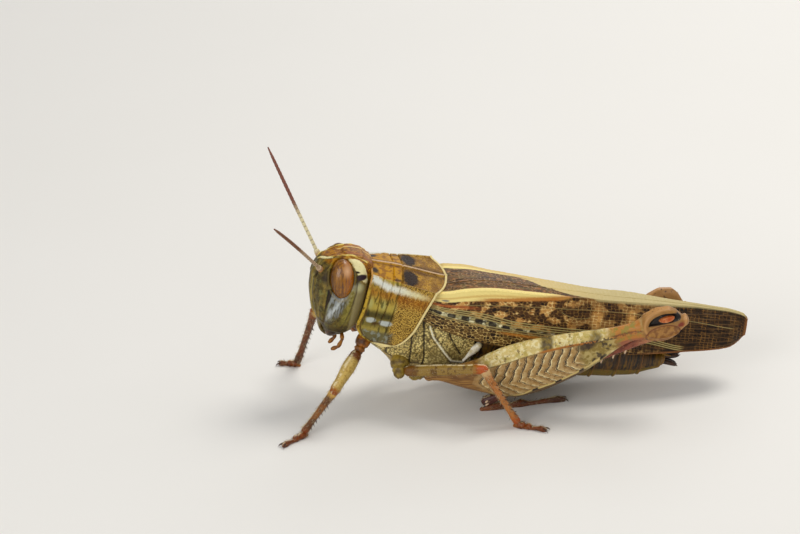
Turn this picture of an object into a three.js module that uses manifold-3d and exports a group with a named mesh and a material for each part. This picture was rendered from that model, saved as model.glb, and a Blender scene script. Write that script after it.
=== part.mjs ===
// A female grasshopper standing at rest, life size, in millimetres with +Z up.
// Two frames are used. The body frame lies along the folded wings: its origin is the rear tip of the
// pronotum, -X runs to the head, +Z to the back, and the body group tips it nose-up. The standing frame
// has the floor at z = 0, and holds the legs, because their feet have to lie flat on that floor.
import * as THREE from "three";
import { mergeVertices } from "three/addons/utils/BufferGeometryUtils.js";
import Module from "manifold-3d";

const wasm = await Module();
wasm.setup();

// ---- Driving dimensions ----
const BODY_PITCH = THREE.MathUtils.degToRad(12.5); // nose-up lean of the body and wings
const PRONOTUM_TIP = new THREE.Vector3(-5.64, 0, 10.31); // body frame's origin, in the standing frame
const GAP = 0.1; // clearance between neighbouring pieces
const SIDES = { left: -1, right: 1 };

const HEAD_TOP = 1.05; // body-frame heights
const HEAD_BOTTOM = -5.35;
const EYE = { centre: [-8.16, 1.62, -0.71], radii: [0.97, 0.86, 1.6], lean: 0.14, tilt: 0.2 };
const PRONOTUM = { front: -6.9, rear: 0.6, hem: -7.2, thickness: 0.42 };
const THORAX = { front: -6.2, rear: 3.0 };
const ABDOMEN = { front: 3.1, rear: 18.0, segments: 8 };
const WING = { base: -1.6, tip: 23.8, thickness: 0.5, overlap: 0.36 };
const FEMUR_LENGTH = 20; // hind femur, hip to the middle of the knee's round end
const KNEE_PIVOT = [17.9, -0.45]; // hind knee's pivot: along the femur, and below its axis

// Knee, heel and toe of each leg in the standing frame; the heel is the tibia's lower end.
const LEG_POSE = {
  front_left: { knee: [-14.78, -5.0, 3.65], heel: [-17.05, -5.13, 0.55], toe: [-18.75, -6.6] },
  front_right: { knee: [-15.45, 4.6, 5.7], heel: [-16.7, 6.55, 0.55], toe: [-18.0, 6.9] },
  mid_left: { knee: [-3.45, -5.6, 5.15], heel: [-0.95, -5.55, 0.55], toe: [1.05, -6.5] },
  mid_right: { knee: [-3.5, 5.6, 4.5], heel: [-1.8, 5.9, 0.55], toe: [0.4, 6.75] },
};
const HIND_POSE = {
  left: { hip: [-7.35, -3.52, 3.22], rise: 13.3, splay: 3.6, heel: [-2.9, -2.5, 0.8], toe: [3.1, -1.75] },
  right: { hip: [-6.45, 3.35, 3.45], rise: 3.0, splay: 2.0, heel: [-3.4, 2.45, 0.8], toe: [2.6, 2.2] },
};
const HIND_ROLL = 0.26; // how far the upper edge of each hind femur leans outwards, for each unit of height

// ---- Finishes ----
const finish = (color, roughness = 0.55) =>
  new THREE.MeshStandardMaterial({ color, roughness, metalness: 0 });
const OLIVE = finish(0x8a7a45);
const PALE_OLIVE = finish(0xa39a63);
const GOLD_BROWN = finish(0x9a7538);
const WING_BROWN = finish(0x6a5436);
const WING_SMOKE = finish(0x8b7a5c);
const FEMUR_TAN = finish(0xa08753);
const ORANGE_BROWN = finish(0xa5622f);
const TIBIA_PINK = finish(0xa85560);
const EYE_BROWN = finish(0x7d4a26, 0.25);
const DARK_HORN = finish(0x3f2a1c, 0.4);

// ---- Curves ----
// Smooth curve through [at, value] stations: it never overshoots them and stays level beyond both ends.
function through(...stations) {
  const slopes = stations.slice(1).map(([x, y], i) => (y - stations[i][1]) / (x - stations[i][0]));
  const tangents = stations.map((_, i) => {
    const [before, after] = [slopes[i - 1], slopes[i]];
    if (before === undefined || after === undefined || before * after <= 0) return 0;
    return (2 * before * after) / (before + after);
  });
  return (x) => {
    if (x <= stations[0][0]) return stations[0][1];
    const i = stations.findIndex(([at]) => at > x) - 1;
    if (i < 0) return stations.at(-1)[1];
    const [[x0, y0], [x1, y1]] = [stations[i], stations[i + 1]];
    const h = x1 - x0;
    const t = (x - x0) / h;
    const startSlope = tangents[i] * h;
    const endSlope = tangents[i + 1] * h;
    const bend = 2 * (y0 - y1) + startSlope + endSlope;
    return y0 + t * (startSlope + t * (3 * (y1 - y0) - 2 * startSlope - endSlope + t * bend));
  };
}

// Point of a unit superellipse: a squareness of 2 is a circle, and more is boxier.
function oval(angle, squareness) {
  const bulge = (v) => Math.sign(v) * Math.abs(v) ** (2 / squareness);
  return [bulge(Math.cos(angle)), bulge(Math.sin(angle))];
}

// Runs 0 to 1 with steps that shorten towards both ends, where shapes round off.
const eased = (t) => (1 - Math.cos(Math.PI * t)) / 2;

// ---- Solids ----
// A closed solid: a cylinder's vertices, each put in its place by place(t, angle, rim, side), where t runs
// 0..1 along it, rim is 0 at the middle of an end and 1 elsewhere, and side counts round it.
function loft(sides, rings, place) {
  const geometry = new THREE.CylinderGeometry(1, 1, 1, sides, rings);
  const position = geometry.getAttribute("position");
  for (let i = 0; i < position.count; i += 1) {
    const rim = Math.hypot(position.getX(i), position.getZ(i)) > 0.5 ? 1 : 0;
    const turn = Math.atan2(position.getX(i), position.getZ(i)) / (2 * Math.PI);
    const side = (Math.round(turn * sides) + sides) % sides;
    const [x, y, z] = place(position.getY(i) + 0.5, (2 * Math.PI * side) / sides, rim, side);
    position.setXYZ(i, x, y, z);
  }
  return geometry;
}

// The geometry as a manifold solid, turned the right way out.
function solid(geometry) {
  const bare = geometry.clone();
  bare.deleteAttribute("normal");
  bare.deleteAttribute("uv");
  const merged = mergeVertices(bare, 1e-4);
  const triVerts = new Uint32Array(merged.index.array);
  const vertProperties = new Float32Array(merged.getAttribute("position").array);
  const [a, b, c] = [new THREE.Vector3(), new THREE.Vector3(), new THREE.Vector3()];
  let volume = 0;
  for (let i = 0; i < triVerts.length; i += 3) {
    a.fromArray(vertProperties, 3 * triVerts[i]);
    b.fromArray(vertProperties, 3 * triVerts[i + 1]);
    c.fromArray(vertProperties, 3 * triVerts[i + 2]);
    volume += a.dot(b.cross(c));
  }
  if (volume < 0) triVerts.reverse();
  return new wasm.Manifold(new wasm.Mesh({ numProp: 3, vertProperties, triVerts }));
}

// One sub-part: a named mesh of a solid, added to its group. A cut can leave slivers, so the largest body
// is the one kept.
function part(group, name, body, material) {
  const [largest] = body.decompose().sort((a, b) => b.volume() - a.volume());
  const shape = largest.getMesh();
  const geometry = new THREE.BufferGeometry();
  geometry.setAttribute("position", new THREE.BufferAttribute(shape.vertProperties, 3));
  geometry.setIndex(new THREE.BufferAttribute(shape.triVerts, 1));
  geometry.computeVertexNormals();
  const mesh = new THREE.Mesh(geometry, material);
  mesh.name = name;
  group.add(mesh);
}

// A limb between two joints, with a round end beyond each. profile(t) gives [height above the axis, depth
// below it, half width, shift sideways], up is the direction of the height, and grow swells it evenly.
const CAP_STEPS = [0.9, 0.5]; // rings of an end, as parts of its radius
function limb(from, to, profile, { up = [0, 0, 1], sides = 7, rings = 4, squareness = 2, grow = 0 } = {}) {
  const start = new THREE.Vector3(...from);
  const axis = new THREE.Vector3(...to).sub(start);
  const length = axis.length();
  axis.normalize();
  const across = new THREE.Vector3().crossVectors(axis, new THREE.Vector3(...up)).normalize();
  const dorsal = new THREE.Vector3().crossVectors(across, axis);
  const steps = rings + 2 * CAP_STEPS.length;
  return loft(sides, steps, (t, angle, rim) => {
    const k = Math.round(t * steps);
    const into = CAP_STEPS[Math.min(k, steps - k)] ?? 0; // how far into a round end, 0 along the limb
    const s = THREE.MathUtils.clamp((k - CAP_STEPS.length) / rings, 0, 1);
    const [above, below, half, shift = 0] = profile(s);
    const cap = Math.sqrt(1 - into ** 2);
    const reach = into * ((above + below) / 2 + grow) * (s < 0.5 ? -1 : 1);
    const [c, d] = oval(angle, squareness);
    const height = (above - below) / 2 + d * rim * cap * ((above + below) / 2 + grow);
    return start
      .clone()
      .addScaledVector(axis, s * length + reach)
      .addScaledVector(dorsal, height)
      .addScaledVector(across, c * rim * cap * (half + grow) + shift)
      .toArray();
  });
}

// Round limb profile through [t, radius] stations.
function roundProfile(...radii) {
  const radius = through(...radii);
  return (t) => [radius(t), radius(t), radius(t)];
}

// ---- Head ----
const headFront = through([-5.4, -8.75], [-4.2, -9.52], [-3.2, -9.88], [-2.2, -10.12],
  [-1.1, -10.2], [0, -9.95], [0.4, -9.6], [0.8, -9.0], [1.05, -8.3]);
const headBack = through([-5.4, -7.1], [-4.5, -6.75], [-3.2, -6.55], [-1.2, -6.3], [0.35, -6.16],
  [1.05, -6.6]);
const headHalf = through([-5.4, 1.5], [-4.9, 1.95], [-3.6, 2.33], [-2.2, 2.4], [-0.8, 2.12],
  [0.2, 1.72], [0.75, 1.3], [1.05, 0.75]);
// How deep the face is hollowed beside the brow ridge, where the feelers stand.
const socketDepth = through([-3.2, 0], [-1.7, 0.3], [-0.8, 0.45], [0.2, 0.3], [0.8, 0]);

function headShape(grow = 0) {
  return loft(18, 10, (t, angle, rim) => {
    const z = THREE.MathUtils.lerp(HEAD_TOP + grow, HEAD_BOTTOM - grow, eased(t));
    const [c, s] = oval(angle, 2.5);
    const [front, back] = [headFront(z) - grow, headBack(z) + grow];
    const y = s * rim * (headHalf(z) + grow);
    const hollow = c < 0 ? socketDepth(z) * rim * Math.sin(Math.PI * Math.min(1, Math.abs(y) / 1.9)) : 0;
    return [(front + back) / 2 + (c * rim * (back - front)) / 2 + hollow, y, z];
  });
}

function eyeShape(side, grow = 0) {
  const eye = new THREE.SphereGeometry(1, 12, 7);
  const [x, y, z] = EYE.centre;
  return eye
    .scale(...EYE.radii.map((radius) => radius + grow))
    .rotateY(-EYE.lean)
    .rotateX(side * EYE.tilt)
    .translate(x, side * y, z);
}

// Feeler: a short thick root and a long thread that curves slightly up and out.
function antennaShape(side) {
  const reach = side < 0 ? [-5.45, -5.6, 5.6] : [-5.45, 3.8, 7.3]; // root to tip
  const root = new THREE.Vector3(-9.35, 0.78 * side, -0.85);
  const tip = root.clone().add(new THREE.Vector3(...reach));
  const middle = root.clone().lerp(tip, 0.5).add(new THREE.Vector3(-0.35, 0, 0.45));
  const curve = new THREE.QuadraticBezierCurve3(root, middle, tip);
  const radius = through([0, 0.34], [0.08, 0.32], [0.13, 0.26], [0.9, 0.26], [1, 0.12]);
  const rings = 9;
  const frames = curve.computeFrenetFrames(rings, false);
  return loft(6, rings, (t, angle, rim) => {
    const i = Math.round(t * rings);
    const point = curve.getPointAt(t);
    point.addScaledVector(frames.normals[i], radius(t) * rim * Math.cos(angle));
    point.addScaledVector(frames.binormals[i], radius(t) * rim * Math.sin(angle));
    return point.toArray();
  });
}

function labrumShape(grow = 0) {
  const half = through([0, 0.95], [0.6, 0.9], [1, 0.6]);
  const profile = (t) => [0.3, 0.3, half(t)];
  const form = { up: [-1, 0, -0.5], sides: 8, rings: 2, grow };
  return limb([-8.85, 0, -4.75], [-8.25, 0, -5.75], profile, form);
}

function mandibleShape(side, grow = 0) {
  const profile = roundProfile([0, 0.55], [1, 0.4]);
  const form = { up: [1, 0, 0], sides: 6, rings: 2, grow };
  return limb([-7.75, 1.3 * side, -4.8], [-8.0, 0.62 * side, -5.6], profile, form);
}

function palpShape(side) {
  const profile = roundProfile([0, 0.25], [1, 0.25]);
  const form = { up: [1, 0, 0], sides: 6, rings: 2 };
  return limb([-7.2, 1.3 * side, -5.2], [-7.5, 1.75 * side, -6.35], profile, form);
}

function addHead(body) {
  let head = solid(headShape()).subtract(solid(labrumShape(GAP)));
  for (const [word, side] of Object.entries(SIDES)) {
    head = head.subtract(solid(eyeShape(side, GAP / 2))).subtract(solid(mandibleShape(side, GAP)));
    part(body, `eye_${word}`, solid(eyeShape(side)), EYE_BROWN);
    const antenna = solid(antennaShape(side)).subtract(solid(headShape(GAP)));
    part(body, `antenna_${word}`, antenna, ORANGE_BROWN);
    const mandible = solid(mandibleShape(side)).subtract(solid(labrumShape(GAP)));
    part(body, `mandible_${word}`, mandible, DARK_HORN);
    const palp = solid(palpShape(side)).subtract(solid(headShape(GAP)));
    part(body, `palp_${word}`, palp.subtract(solid(mandibleShape(side, GAP))), ORANGE_BROWN);
  }
  part(body, "head", head, PALE_OLIVE);
  part(body, "labrum", solid(labrumShape()), PALE_OLIVE);
}

// ---- Thorax and its saddle, the pronotum ----
const saddleTop = through([-6.9, 0.42], [-5, 0.46], [-2.6, 0.28], [0.6, 0.02]);
const saddleHalf = through([-6.9, 2.5], [-6, 2.55], [-4.2, 2.68], [-2.6, 2.85], [0.6, 3.1]);
const thoraxTop = through([-6.3, -0.9], [-5, -0.45], [-1, -0.6], [3.0, -1.2]);
const thoraxHalf = through([-6.3, 1.75], [-5, 2.0], [-2.5, 2.3], [0, 2.5], [3.0, 2.3]);
const thoraxUnder = through([-6.3, -5.1], [-4.6, -6.2], [-3.3, -7.2], [-2.2, -7.9], [-0.6, -8.1],
  [1.2, -7.8], [3.0, -7.2]);

function thoraxShape(grow = 0) {
  return loft(18, 8, (t, angle, rim) => {
    const x = THREE.MathUtils.lerp(THORAX.front - grow, THORAX.rear + grow, t);
    const [c, s] = oval(angle, 2.4);
    const [top, under] = [thoraxTop(x) + grow, thoraxUnder(x) - grow];
    return [x, c * rim * (thoraxHalf(x) + grow), (top + under) / 2 + (s * rim * (top - under)) / 2];
  });
}

function saddleShape(grow = 0) {
  return loft(24, 6, (t, angle, rim) => {
    const x = THREE.MathUtils.lerp(PRONOTUM.front, PRONOTUM.rear, t);
    const [c, s] = oval(angle, 3.4);
    const top = saddleTop(x) + grow;
    const roof = s > 0 ? 0.3 * Math.abs(c) : 0; // the back falls away a little to each side keel
    const z = (top + PRONOTUM.hem) / 2 + (s * (top - PRONOTUM.hem)) / 2 - roof;
    return [x, c * rim * (saddleHalf(x) + grow), rim ? z : (top + PRONOTUM.hem) / 2];
  });
}

// The pronotum's outline from the side: neck rim, the lobes' hem, and the hind edge up to the tip.
function saddleOutline(grow = 0) {
  const shape = new THREE.Shape();
  const front = -6.05 - grow;
  shape.moveTo(front, 1.5);
  shape.lineTo(front, 0.4);
  shape.splineThru([[front - 0.1, -0.9], [front - 0.2, -2.4], [front - 0.42, -3.7]]
    .map(([x, z]) => new THREE.Vector2(x, z)));
  shape.splineThru([[-5.9, -4.75 - grow], [-4.8, -5.15 - grow], [-3.7, -5.3 - grow],
    [-2.95 + grow, -4.95 - grow], [-2.4 + grow, -4.05], [-1.98 + grow, -2.6], [-1.55 + grow, -1.1],
    [-1.0 + grow, -0.42], [-0.3 + grow, -0.14], [0.02 + grow, 0.06]]
    .map(([x, z]) => new THREE.Vector2(x, z)));
  shape.lineTo(0.02 + grow, 1.5);
  const depth = 9;
  const block = new THREE.ExtrudeGeometry(shape, { depth, bevelEnabled: false, curveSegments: 2 });
  return block.translate(0, 0, -depth / 2).rotateX(Math.PI / 2);
}

function addThorax(body) {
  const cavity = solid(saddleShape(-PRONOTUM.thickness));
  const saddle = solid(saddleShape()).subtract(cavity).intersect(solid(saddleOutline()));
  part(body, "pronotum", saddle, GOLD_BROWN);
  part(body, "thorax", solid(thoraxShape()), OLIVE);
}

// ---- Abdomen ----
const abdomenTop = through([3, -1.9], [9, -2.2], [14, -2.75], [18.4, -3.6]);
const abdomenUnder = through([3, -6.95], [6, -6.85], [10, -6.55], [14, -6.05], [16, -5.6], [17.4, -4.95],
  [18.4, -4.55]);
const abdomenHalf = through([3, 2.15], [7, 2.1], [12, 1.75], [15.5, 1.35], [17.4, 0.95], [18.4, 0.8]);

// A length of the abdomen: each plate flares slightly towards its rear edge.
function abdomenLength(from, to, flare) {
  return loft(16, 1, (t, angle, rim) => {
    const x = THREE.MathUtils.lerp(from, to, t);
    const swell = flare * t;
    const [c, s] = oval(angle, 2.2);
    const [top, under] = [abdomenTop(x) + swell, abdomenUnder(x) - swell];
    return [x, c * rim * (abdomenHalf(x) + swell), (top + under) / 2 + (s * rim * (top - under)) / 2];
  });
}

function addAbdomen(body) {
  const flare = 0.1;
  const step = (ABDOMEN.rear - ABDOMEN.front) / ABDOMEN.segments;
  for (let i = 0; i < ABDOMEN.segments; i += 1) {
    const from = ABDOMEN.front + i * step;
    part(body, `abdomen_segment_${i + 1}`, solid(abdomenLength(from, from + step - GAP, flare)), OLIVE);
  }
  const cap = roundProfile([0, 0.36], [1, 0.28]);
  const valve = roundProfile([0, 0.22], [1, 0.18]);
  const start = ABDOMEN.rear + 0.4;
  const tail = [
    { name: "abdomen_tip", z: -3.2, end: 18.8, profile: cap, material: OLIVE },
    { name: "ovipositor_upper", z: -3.84, end: 19.4, profile: valve, material: DARK_HORN },
    { name: "ovipositor_lower", z: -4.34, end: 19.2, profile: valve, material: DARK_HORN },
  ];
  for (const { name, z, end, profile, material } of tail) {
    part(body, name, solid(limb([start, 0, z], [end, 0, z], profile, { rings: 2 })), material);
  }
}

// ---- Wings ----
// The folded pair is a box at the root that narrows to a roof. The keel is the pale fold between the flat
// back of the wings and their upright sides.
const keelHalf = through([-1.6, 2.25], [0, 2.38], [4, 2.08], [8.5, 1.65], [11, 1.2], [13.5, 0.95],
  [15, 0.82], [16.5, 0.58], [18, 0.43], [20, 0.3], [23.8, 0.26]);
const keelHeight = through([-1.6, -0.1], [0, 0.0], [4, 0.42], [8.5, 0.46], [12, 0.47], [15, 0.57],
  [18, 0.63], [20, 0.68], [22, 0.67], [22.8, 0.6], [23.4, 0.48], [23.8, 0.22]);
const wingCrown = through([-1.6, 0.12], [4, 0.16], [8.5, 0.14], [13.5, 0.06], [23.8, 0.03]);
const hemHalf = through([-1.6, 2.85], [0, 2.98], [4.7, 2.88], [9, 2.8], [14, 2.6], [19.5, 2.1],
  [22.5, 1.45], [23.8, 0.62]);
const hemHeight = through([-1.6, -2.7], [0, -3.15], [4.7, -3.78], [9, -3.68], [14, -3.2], [19.5, -2.3],
  [22.3, -1.85], [23.3, -1.45], [23.8, -0.95]);

// Outer surface of one fore wing at x: u runs 0..1 from the seam on the back over the keel to the hem.
function wingSurface(side, x, u) {
  const seam = -WING.overlap * keelHalf(x) + (side * GAP) / 2;
  const keel = [side * keelHalf(x), keelHeight(x)];
  const hem = [side * hemHalf(x), hemHeight(x)];
  const turn = 0.3;
  if (u < turn) {
    const v = u / turn;
    return [THREE.MathUtils.lerp(seam, keel[0], v), keel[1] + wingCrown(x) * (1 - v * v)];
  }
  const v = (u - turn) / (1 - turn);
  const bow = 0.22 * side * Math.sin(Math.PI * v) * Math.min(1, (keel[1] - hem[1]) / 3);
  return [THREE.MathUtils.lerp(keel[0], hem[0], v) + bow, THREE.MathUtils.lerp(keel[1], hem[1], v)];
}

// A sheet that follows the fore wing's surface from one depth under it to another.
function wingSheet(side, { from, to, start = 0, end = 1, near, far, across = 7, rings = 15 }) {
  return loft(2 * across, rings, (t, angle, rim, i) => {
    const x = THREE.MathUtils.lerp(from, to, Math.sin((Math.PI / 2) * t) ** 1.15);
    const outer = i < across;
    const k = outer ? i : 2 * across - 1 - i;
    const u = rim ? start + ((end - start) * k) / (across - 1) : (start + end) / 2;
    const depth = rim ? (outer ? near : far) : (near + far) / 2;
    const step = 0.02;
    const [y, z] = wingSurface(side, x, u);
    const [y1, z1] = wingSurface(side, x, Math.min(1, u + step));
    const [y0, z0] = wingSurface(side, x, Math.max(0, u - step));
    const run = Math.hypot(y1 - y0, z1 - z0);
    const inward = [(-side * -(z1 - z0)) / run, (-side * (y1 - y0)) / run];
    const yIn = y + inward[0] * depth;
    const limit = -WING.overlap * keelHalf(x) + (side * GAP) / 2;
    return [x, side * Math.max(side * yIn, side * limit), z + inward[1] * depth];
  });
}

function addWings(body) {
  const covers = solid(saddleShape(GAP)).intersect(solid(saddleOutline(GAP)));
  const core = solid(thoraxShape(GAP));
  for (const [word, side] of Object.entries(SIDES)) {
    const tegmen = wingSheet(side, { from: WING.base, to: WING.tip, near: 0, far: WING.thickness });
    part(body, `tegmen_${word}`, solid(tegmen).subtract(covers).subtract(core), WING_BROWN);
    const under = WING.thickness + GAP;
    const fan = wingSheet(side, {
      from: 3.4, to: 19.5, start: 0.34, end: 0.72, near: under, far: under + 0.5, across: 5, rings: 8,
    });
    part(body, `hindwing_${word}`, solid(fan), WING_SMOKE);
  }
}

// ---- Legs ----
// Each hip's place on the underside, in the body frame: [x, y, z] of the coxa's inner and outer ends.
const COXA = {
  front: { inner: [-5.35, 1.25, -5.2], outer: [-5.72, 1.95, -6.15], radius: 0.55 },
  mid: { inner: [-2.4, 1.6, -6.5], outer: [-2.45, 2.6, -7.2], radius: 0.72 },
  hind: { inner: [0.1, 1.2, -6.9], outer: [-0.95, 1.75, -7.55], radius: 0.8 },
};

function addCoxae(body) {
  const thorax = solid(thoraxShape(GAP));
  for (const [pair, coxa] of Object.entries(COXA)) {
    for (const [word, side] of Object.entries(SIDES)) {
      const [inner, outer] = [coxa.inner, coxa.outer].map(([x, y, z]) => [x, side * y, z]);
      const profile = roundProfile([0, coxa.radius], [1, 0.7 * coxa.radius]);
      const stub = solid(limb(inner, outer, profile, { up: [1, 0, 0], rings: 1 }));
      part(body, `coxa_${pair}_${word}`, stub.subtract(thorax), OLIVE);
    }
  }
}

// A point this far from one point towards another.
function towards(from, to, distance) {
  const start = new THREE.Vector3(...from);
  const step = new THREE.Vector3(...to).sub(start).setLength(distance);
  return start.add(step).toArray();
}

// Foot: three joints in a row, each swelling to a pad whose underside is flat on the floor.
function footShape(heel, toe, size) {
  const start = new THREE.Vector3(heel[0], heel[1], 0);
  const end = new THREE.Vector3(toe[0], toe[1], 0);
  const axis = end.clone().sub(start).normalize();
  const across = new THREE.Vector3(-axis.y, axis.x, 0);
  const pads = through([0, 0.6], [0.12, 1], [0.3, 0.92], [0.36, 0.8], [0.48, 1], [0.56, 0.8], [0.8, 0.86],
    [0.93, 1.05], [1, 0.5]);
  return loft(6, 8, (t, angle, rim) => {
    const radius = size * pads(t);
    const point = start.clone().lerp(end, t).addScaledVector(across, radius * rim * Math.cos(angle));
    const height = radius * (0.72 + rim * Math.sin(angle));
    return [point.x, point.y, Math.max(0, height)];
  });
}

function addWalkingLeg(legs, name, hip, { knee, heel, toe }) {
  const femur = roundProfile([0, 0.4], [0.35, 0.54], [0.8, 0.42], [1, 0.42]);
  const tibia = roundProfile([0, 0.34], [0.25, 0.3], [0.8, 0.27], [1, 0.32]);
  const femurShape = (grow) => limb(hip, knee, femur, { sides: 9, rings: 4, grow });
  const tibiaShape = (grow) => limb(knee, heel, tibia, { rings: 3, up: [1, 0, 0], grow });
  part(legs, `femur_${name}`, solid(femurShape(0)), FEMUR_TAN);
  part(legs, `tibia_${name}`, solid(tibiaShape(0)).subtract(solid(femurShape(GAP))), ORANGE_BROWN);
  const foot = solid(footShape(heel, toe, 0.3)).subtract(solid(tibiaShape(GAP)));
  part(legs, `tarsus_${name}`, foot, ORANGE_BROWN);
}

// Hind femur: heights above and below its axis and half thickness, in millimetres along it.
const femurAbove = through([0, 0.35], [2, 0.45], [3.8, 0.7], [5, 1.15], [6.2, 1.5], [8, 1.6],
  [10.9, 1.42], [13.5, 1.1], [15.2, 0.92], [16.2, 1.0], [17.2, 1.45], [18.2, 1.8], [18.9, 1.75], [19.4, 1.4],
  [20, 0.45]);
const femurBelow = through([0, 0.45], [2, 1.3], [3.3, 2.0], [4.9, 2.9], [6.3, 3.35], [7.9, 3.3],
  [9.7, 2.95], [11.6, 2.4], [12.9, 1.8], [14.2, 1.1], [15.5, 0.55], [16.4, 0.5], [17.2, 0.92], [18.3, 1.15],
  [19, 0.95], [20, 0.1]);
const femurHalf = through([0, 0.42], [3, 0.85], [7, 1.08], [11, 0.88], [14, 0.62], [15.6, 0.54],
  [17.4, 0.76], [19, 0.7], [20, 0.5]);
const femurSway = through([0, 0.8], [3, 0.3], [7, 0], [20, 0]); // the root bends in towards the body

function addHindLeg(legs, word, side) {
  const { hip, rise, splay, heel, toe } = HIND_POSE[word];
  const [lift, turn] = [rise, splay].map(THREE.MathUtils.degToRad);
  const axis = new THREE.Vector3(Math.cos(turn), side * Math.sin(turn), Math.tan(lift)).normalize();
  const up = new THREE.Vector3(-Math.sin(lift), side * HIND_ROLL, Math.cos(lift)).normalize();
  const root = new THREE.Vector3(...hip);
  const end = root.clone().addScaledVector(axis, FEMUR_LENGTH).toArray();
  const [along, below] = KNEE_PIVOT;
  const pivot = root.clone().addScaledVector(axis, along).addScaledVector(up, below).toArray();
  const curves = [femurAbove, femurBelow, femurHalf, (s) => side * femurSway(s)];
  const profile = (t) => curves.map((curve) => curve(t * FEMUR_LENGTH));
  const femur = limb(hip, end, profile, { up: up.toArray(), sides: 14, rings: 12, squareness: 2.3 });
  const tibia = roundProfile([0, 0.42], [0.3, 0.36], [0.9, 0.34], [1, 0.4]);
  const tibiaShape = (grow) => limb(pivot, heel, tibia, { rings: 5, up: up.toArray(), grow });
  part(legs, `femur_hind_${word}`, solid(femur).subtract(solid(tibiaShape(GAP))), FEMUR_TAN);
  part(legs, `tibia_hind_${word}`, solid(tibiaShape(0)), TIBIA_PINK);
  const foot = solid(footShape(towards([...heel.slice(0, 2), 0], [...toe, 0], -0.5), toe, 0.34));
  part(legs, `tarsus_hind_${word}`, foot.subtract(solid(tibiaShape(GAP))), TIBIA_PINK);
}

function addLegs(standing, body) {
  body.updateMatrixWorld(true);
  for (const [name, pose] of Object.entries(LEG_POSE)) {
    const [pair, word] = name.split("_");
    const { outer, radius } = COXA[pair];
    const [x, y, z] = outer;
    const hip = body.localToWorld(new THREE.Vector3(x, SIDES[word] * y, z)).toArray();
    addWalkingLeg(standing, name, towards(hip, pose.knee, 0.7 * radius + 0.42 + GAP), pose);
  }
  for (const [word, side] of Object.entries(SIDES)) addHindLeg(standing, word, side);
}

// ---- The whole animal ----
const body = new THREE.Group();
body.position.copy(PRONOTUM_TIP);
body.rotation.y = BODY_PITCH;
addHead(body);
addThorax(body);
addAbdomen(body);
addWings(body);
addCoxae(body);

const standing = new THREE.Group();
addLegs(standing, body);
standing.add(body);

// The origin is on the floor, under the middle of the animal's box.
const box = new THREE.Box3().setFromObject(standing, true);
const middle = box.getCenter(new THREE.Vector3());
standing.position.set(-middle.x, -middle.y, 0);

const grasshopper = new THREE.Group();
grasshopper.add(standing);
export default grasshopper;
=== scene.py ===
# %% [markdown]
# # A grasshopper, dressed over its fixed frame
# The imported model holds 51 plain solids that say where every plate, wing and leg joint is.
# This notebook gives each of them its finished shape and surface: veined wings, a pitted saddle,
# ribbed thighs, spined shins, jointed feet and fine hairs. Each step first says what the piece is
# on the real animal, how it could be made, and why this way was chosen.

# %% Load the frame
import math

import bmesh
import bpy
import numpy as np
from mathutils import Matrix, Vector


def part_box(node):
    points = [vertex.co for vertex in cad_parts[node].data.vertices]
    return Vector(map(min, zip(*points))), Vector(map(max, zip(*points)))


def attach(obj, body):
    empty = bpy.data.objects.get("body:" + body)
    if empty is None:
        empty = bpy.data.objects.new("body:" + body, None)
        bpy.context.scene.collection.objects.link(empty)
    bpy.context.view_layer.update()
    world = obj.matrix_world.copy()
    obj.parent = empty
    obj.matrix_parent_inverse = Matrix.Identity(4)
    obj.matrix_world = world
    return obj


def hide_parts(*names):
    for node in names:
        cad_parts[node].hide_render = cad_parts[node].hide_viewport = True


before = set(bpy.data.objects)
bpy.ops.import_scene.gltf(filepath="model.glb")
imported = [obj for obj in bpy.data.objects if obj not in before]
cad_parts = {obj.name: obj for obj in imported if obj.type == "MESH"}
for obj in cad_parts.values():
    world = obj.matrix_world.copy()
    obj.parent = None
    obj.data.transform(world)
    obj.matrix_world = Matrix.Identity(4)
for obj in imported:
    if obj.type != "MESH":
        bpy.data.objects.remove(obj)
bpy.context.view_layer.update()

print("nodes in the frame:", len(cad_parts))

# %% [markdown]
# ## Where the animal stands
# The solids were built in two frames. The body frame lies along the folded wings: its origin is the
# rear tip of the saddle, -X runs to the head, and the whole body is tipped nose-up. The standing frame
# has the floor at z = 0 and holds the legs. A smooth round thing is the best thing to measure a frame
# from, because the middle of its box is its true centre, so the two eyes give both frames here.

# %% Measure the body frame from the eyes
MM = 0.001
PITCH = math.radians(12.5)
EYE_CENTRE = np.array([-8.16, 1.62, -0.71])  # body frame, millimetres, the same as the eye's solid
EYE_RADII = np.array([0.97, 0.86, 1.6])
EYE_LEAN, EYE_TILT = 0.14, 0.2  # how far the top leans back, and in towards the crown
SADDLE_TIP_STANDING = np.array([-5.64, 0.0, 10.31])  # the body frame's origin, in the standing frame
SIDES = {"left": -1, "right": 1}
TURN = np.array([
    [math.cos(PITCH), 0, math.sin(PITCH)],
    [0, 1, 0],
    [-math.sin(PITCH), 0, math.cos(PITCH)],
])

eye_middles = [sum(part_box(f"eye_{word}"), Vector()) / 2 for word in SIDES]
eyes_middle = np.array(sum(eye_middles, Vector()) / 2) / MM
BODY_ORIGIN = eyes_middle - TURN @ (EYE_CENTRE * [1, 0, 1])
STANDING_ORIGIN = BODY_ORIGIN - SADDLE_TIP_STANDING


def from_body(points):
    """Body-frame points, in the part's frame, all in millimetres."""
    return np.asarray(points, float) @ TURN.T + BODY_ORIGIN


def from_standing(points):
    """Standing-frame points, in the part's frame, all in millimetres."""
    return np.asarray(points, float) + STANDING_ORIGIN


print("body frame's origin:", BODY_ORIGIN.round(3), "standing frame's:", STANDING_ORIGIN.round(3))

# %% [markdown]
# ## Curves
# An insect's outline is smooth, and a few measured stations say where it goes. A polynomial through
# them would swing past the stations, and straight lines would show corners, so each curve here is a
# monotone cubic: it is smooth, it stays between its stations, and it lies level beyond both ends.


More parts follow.
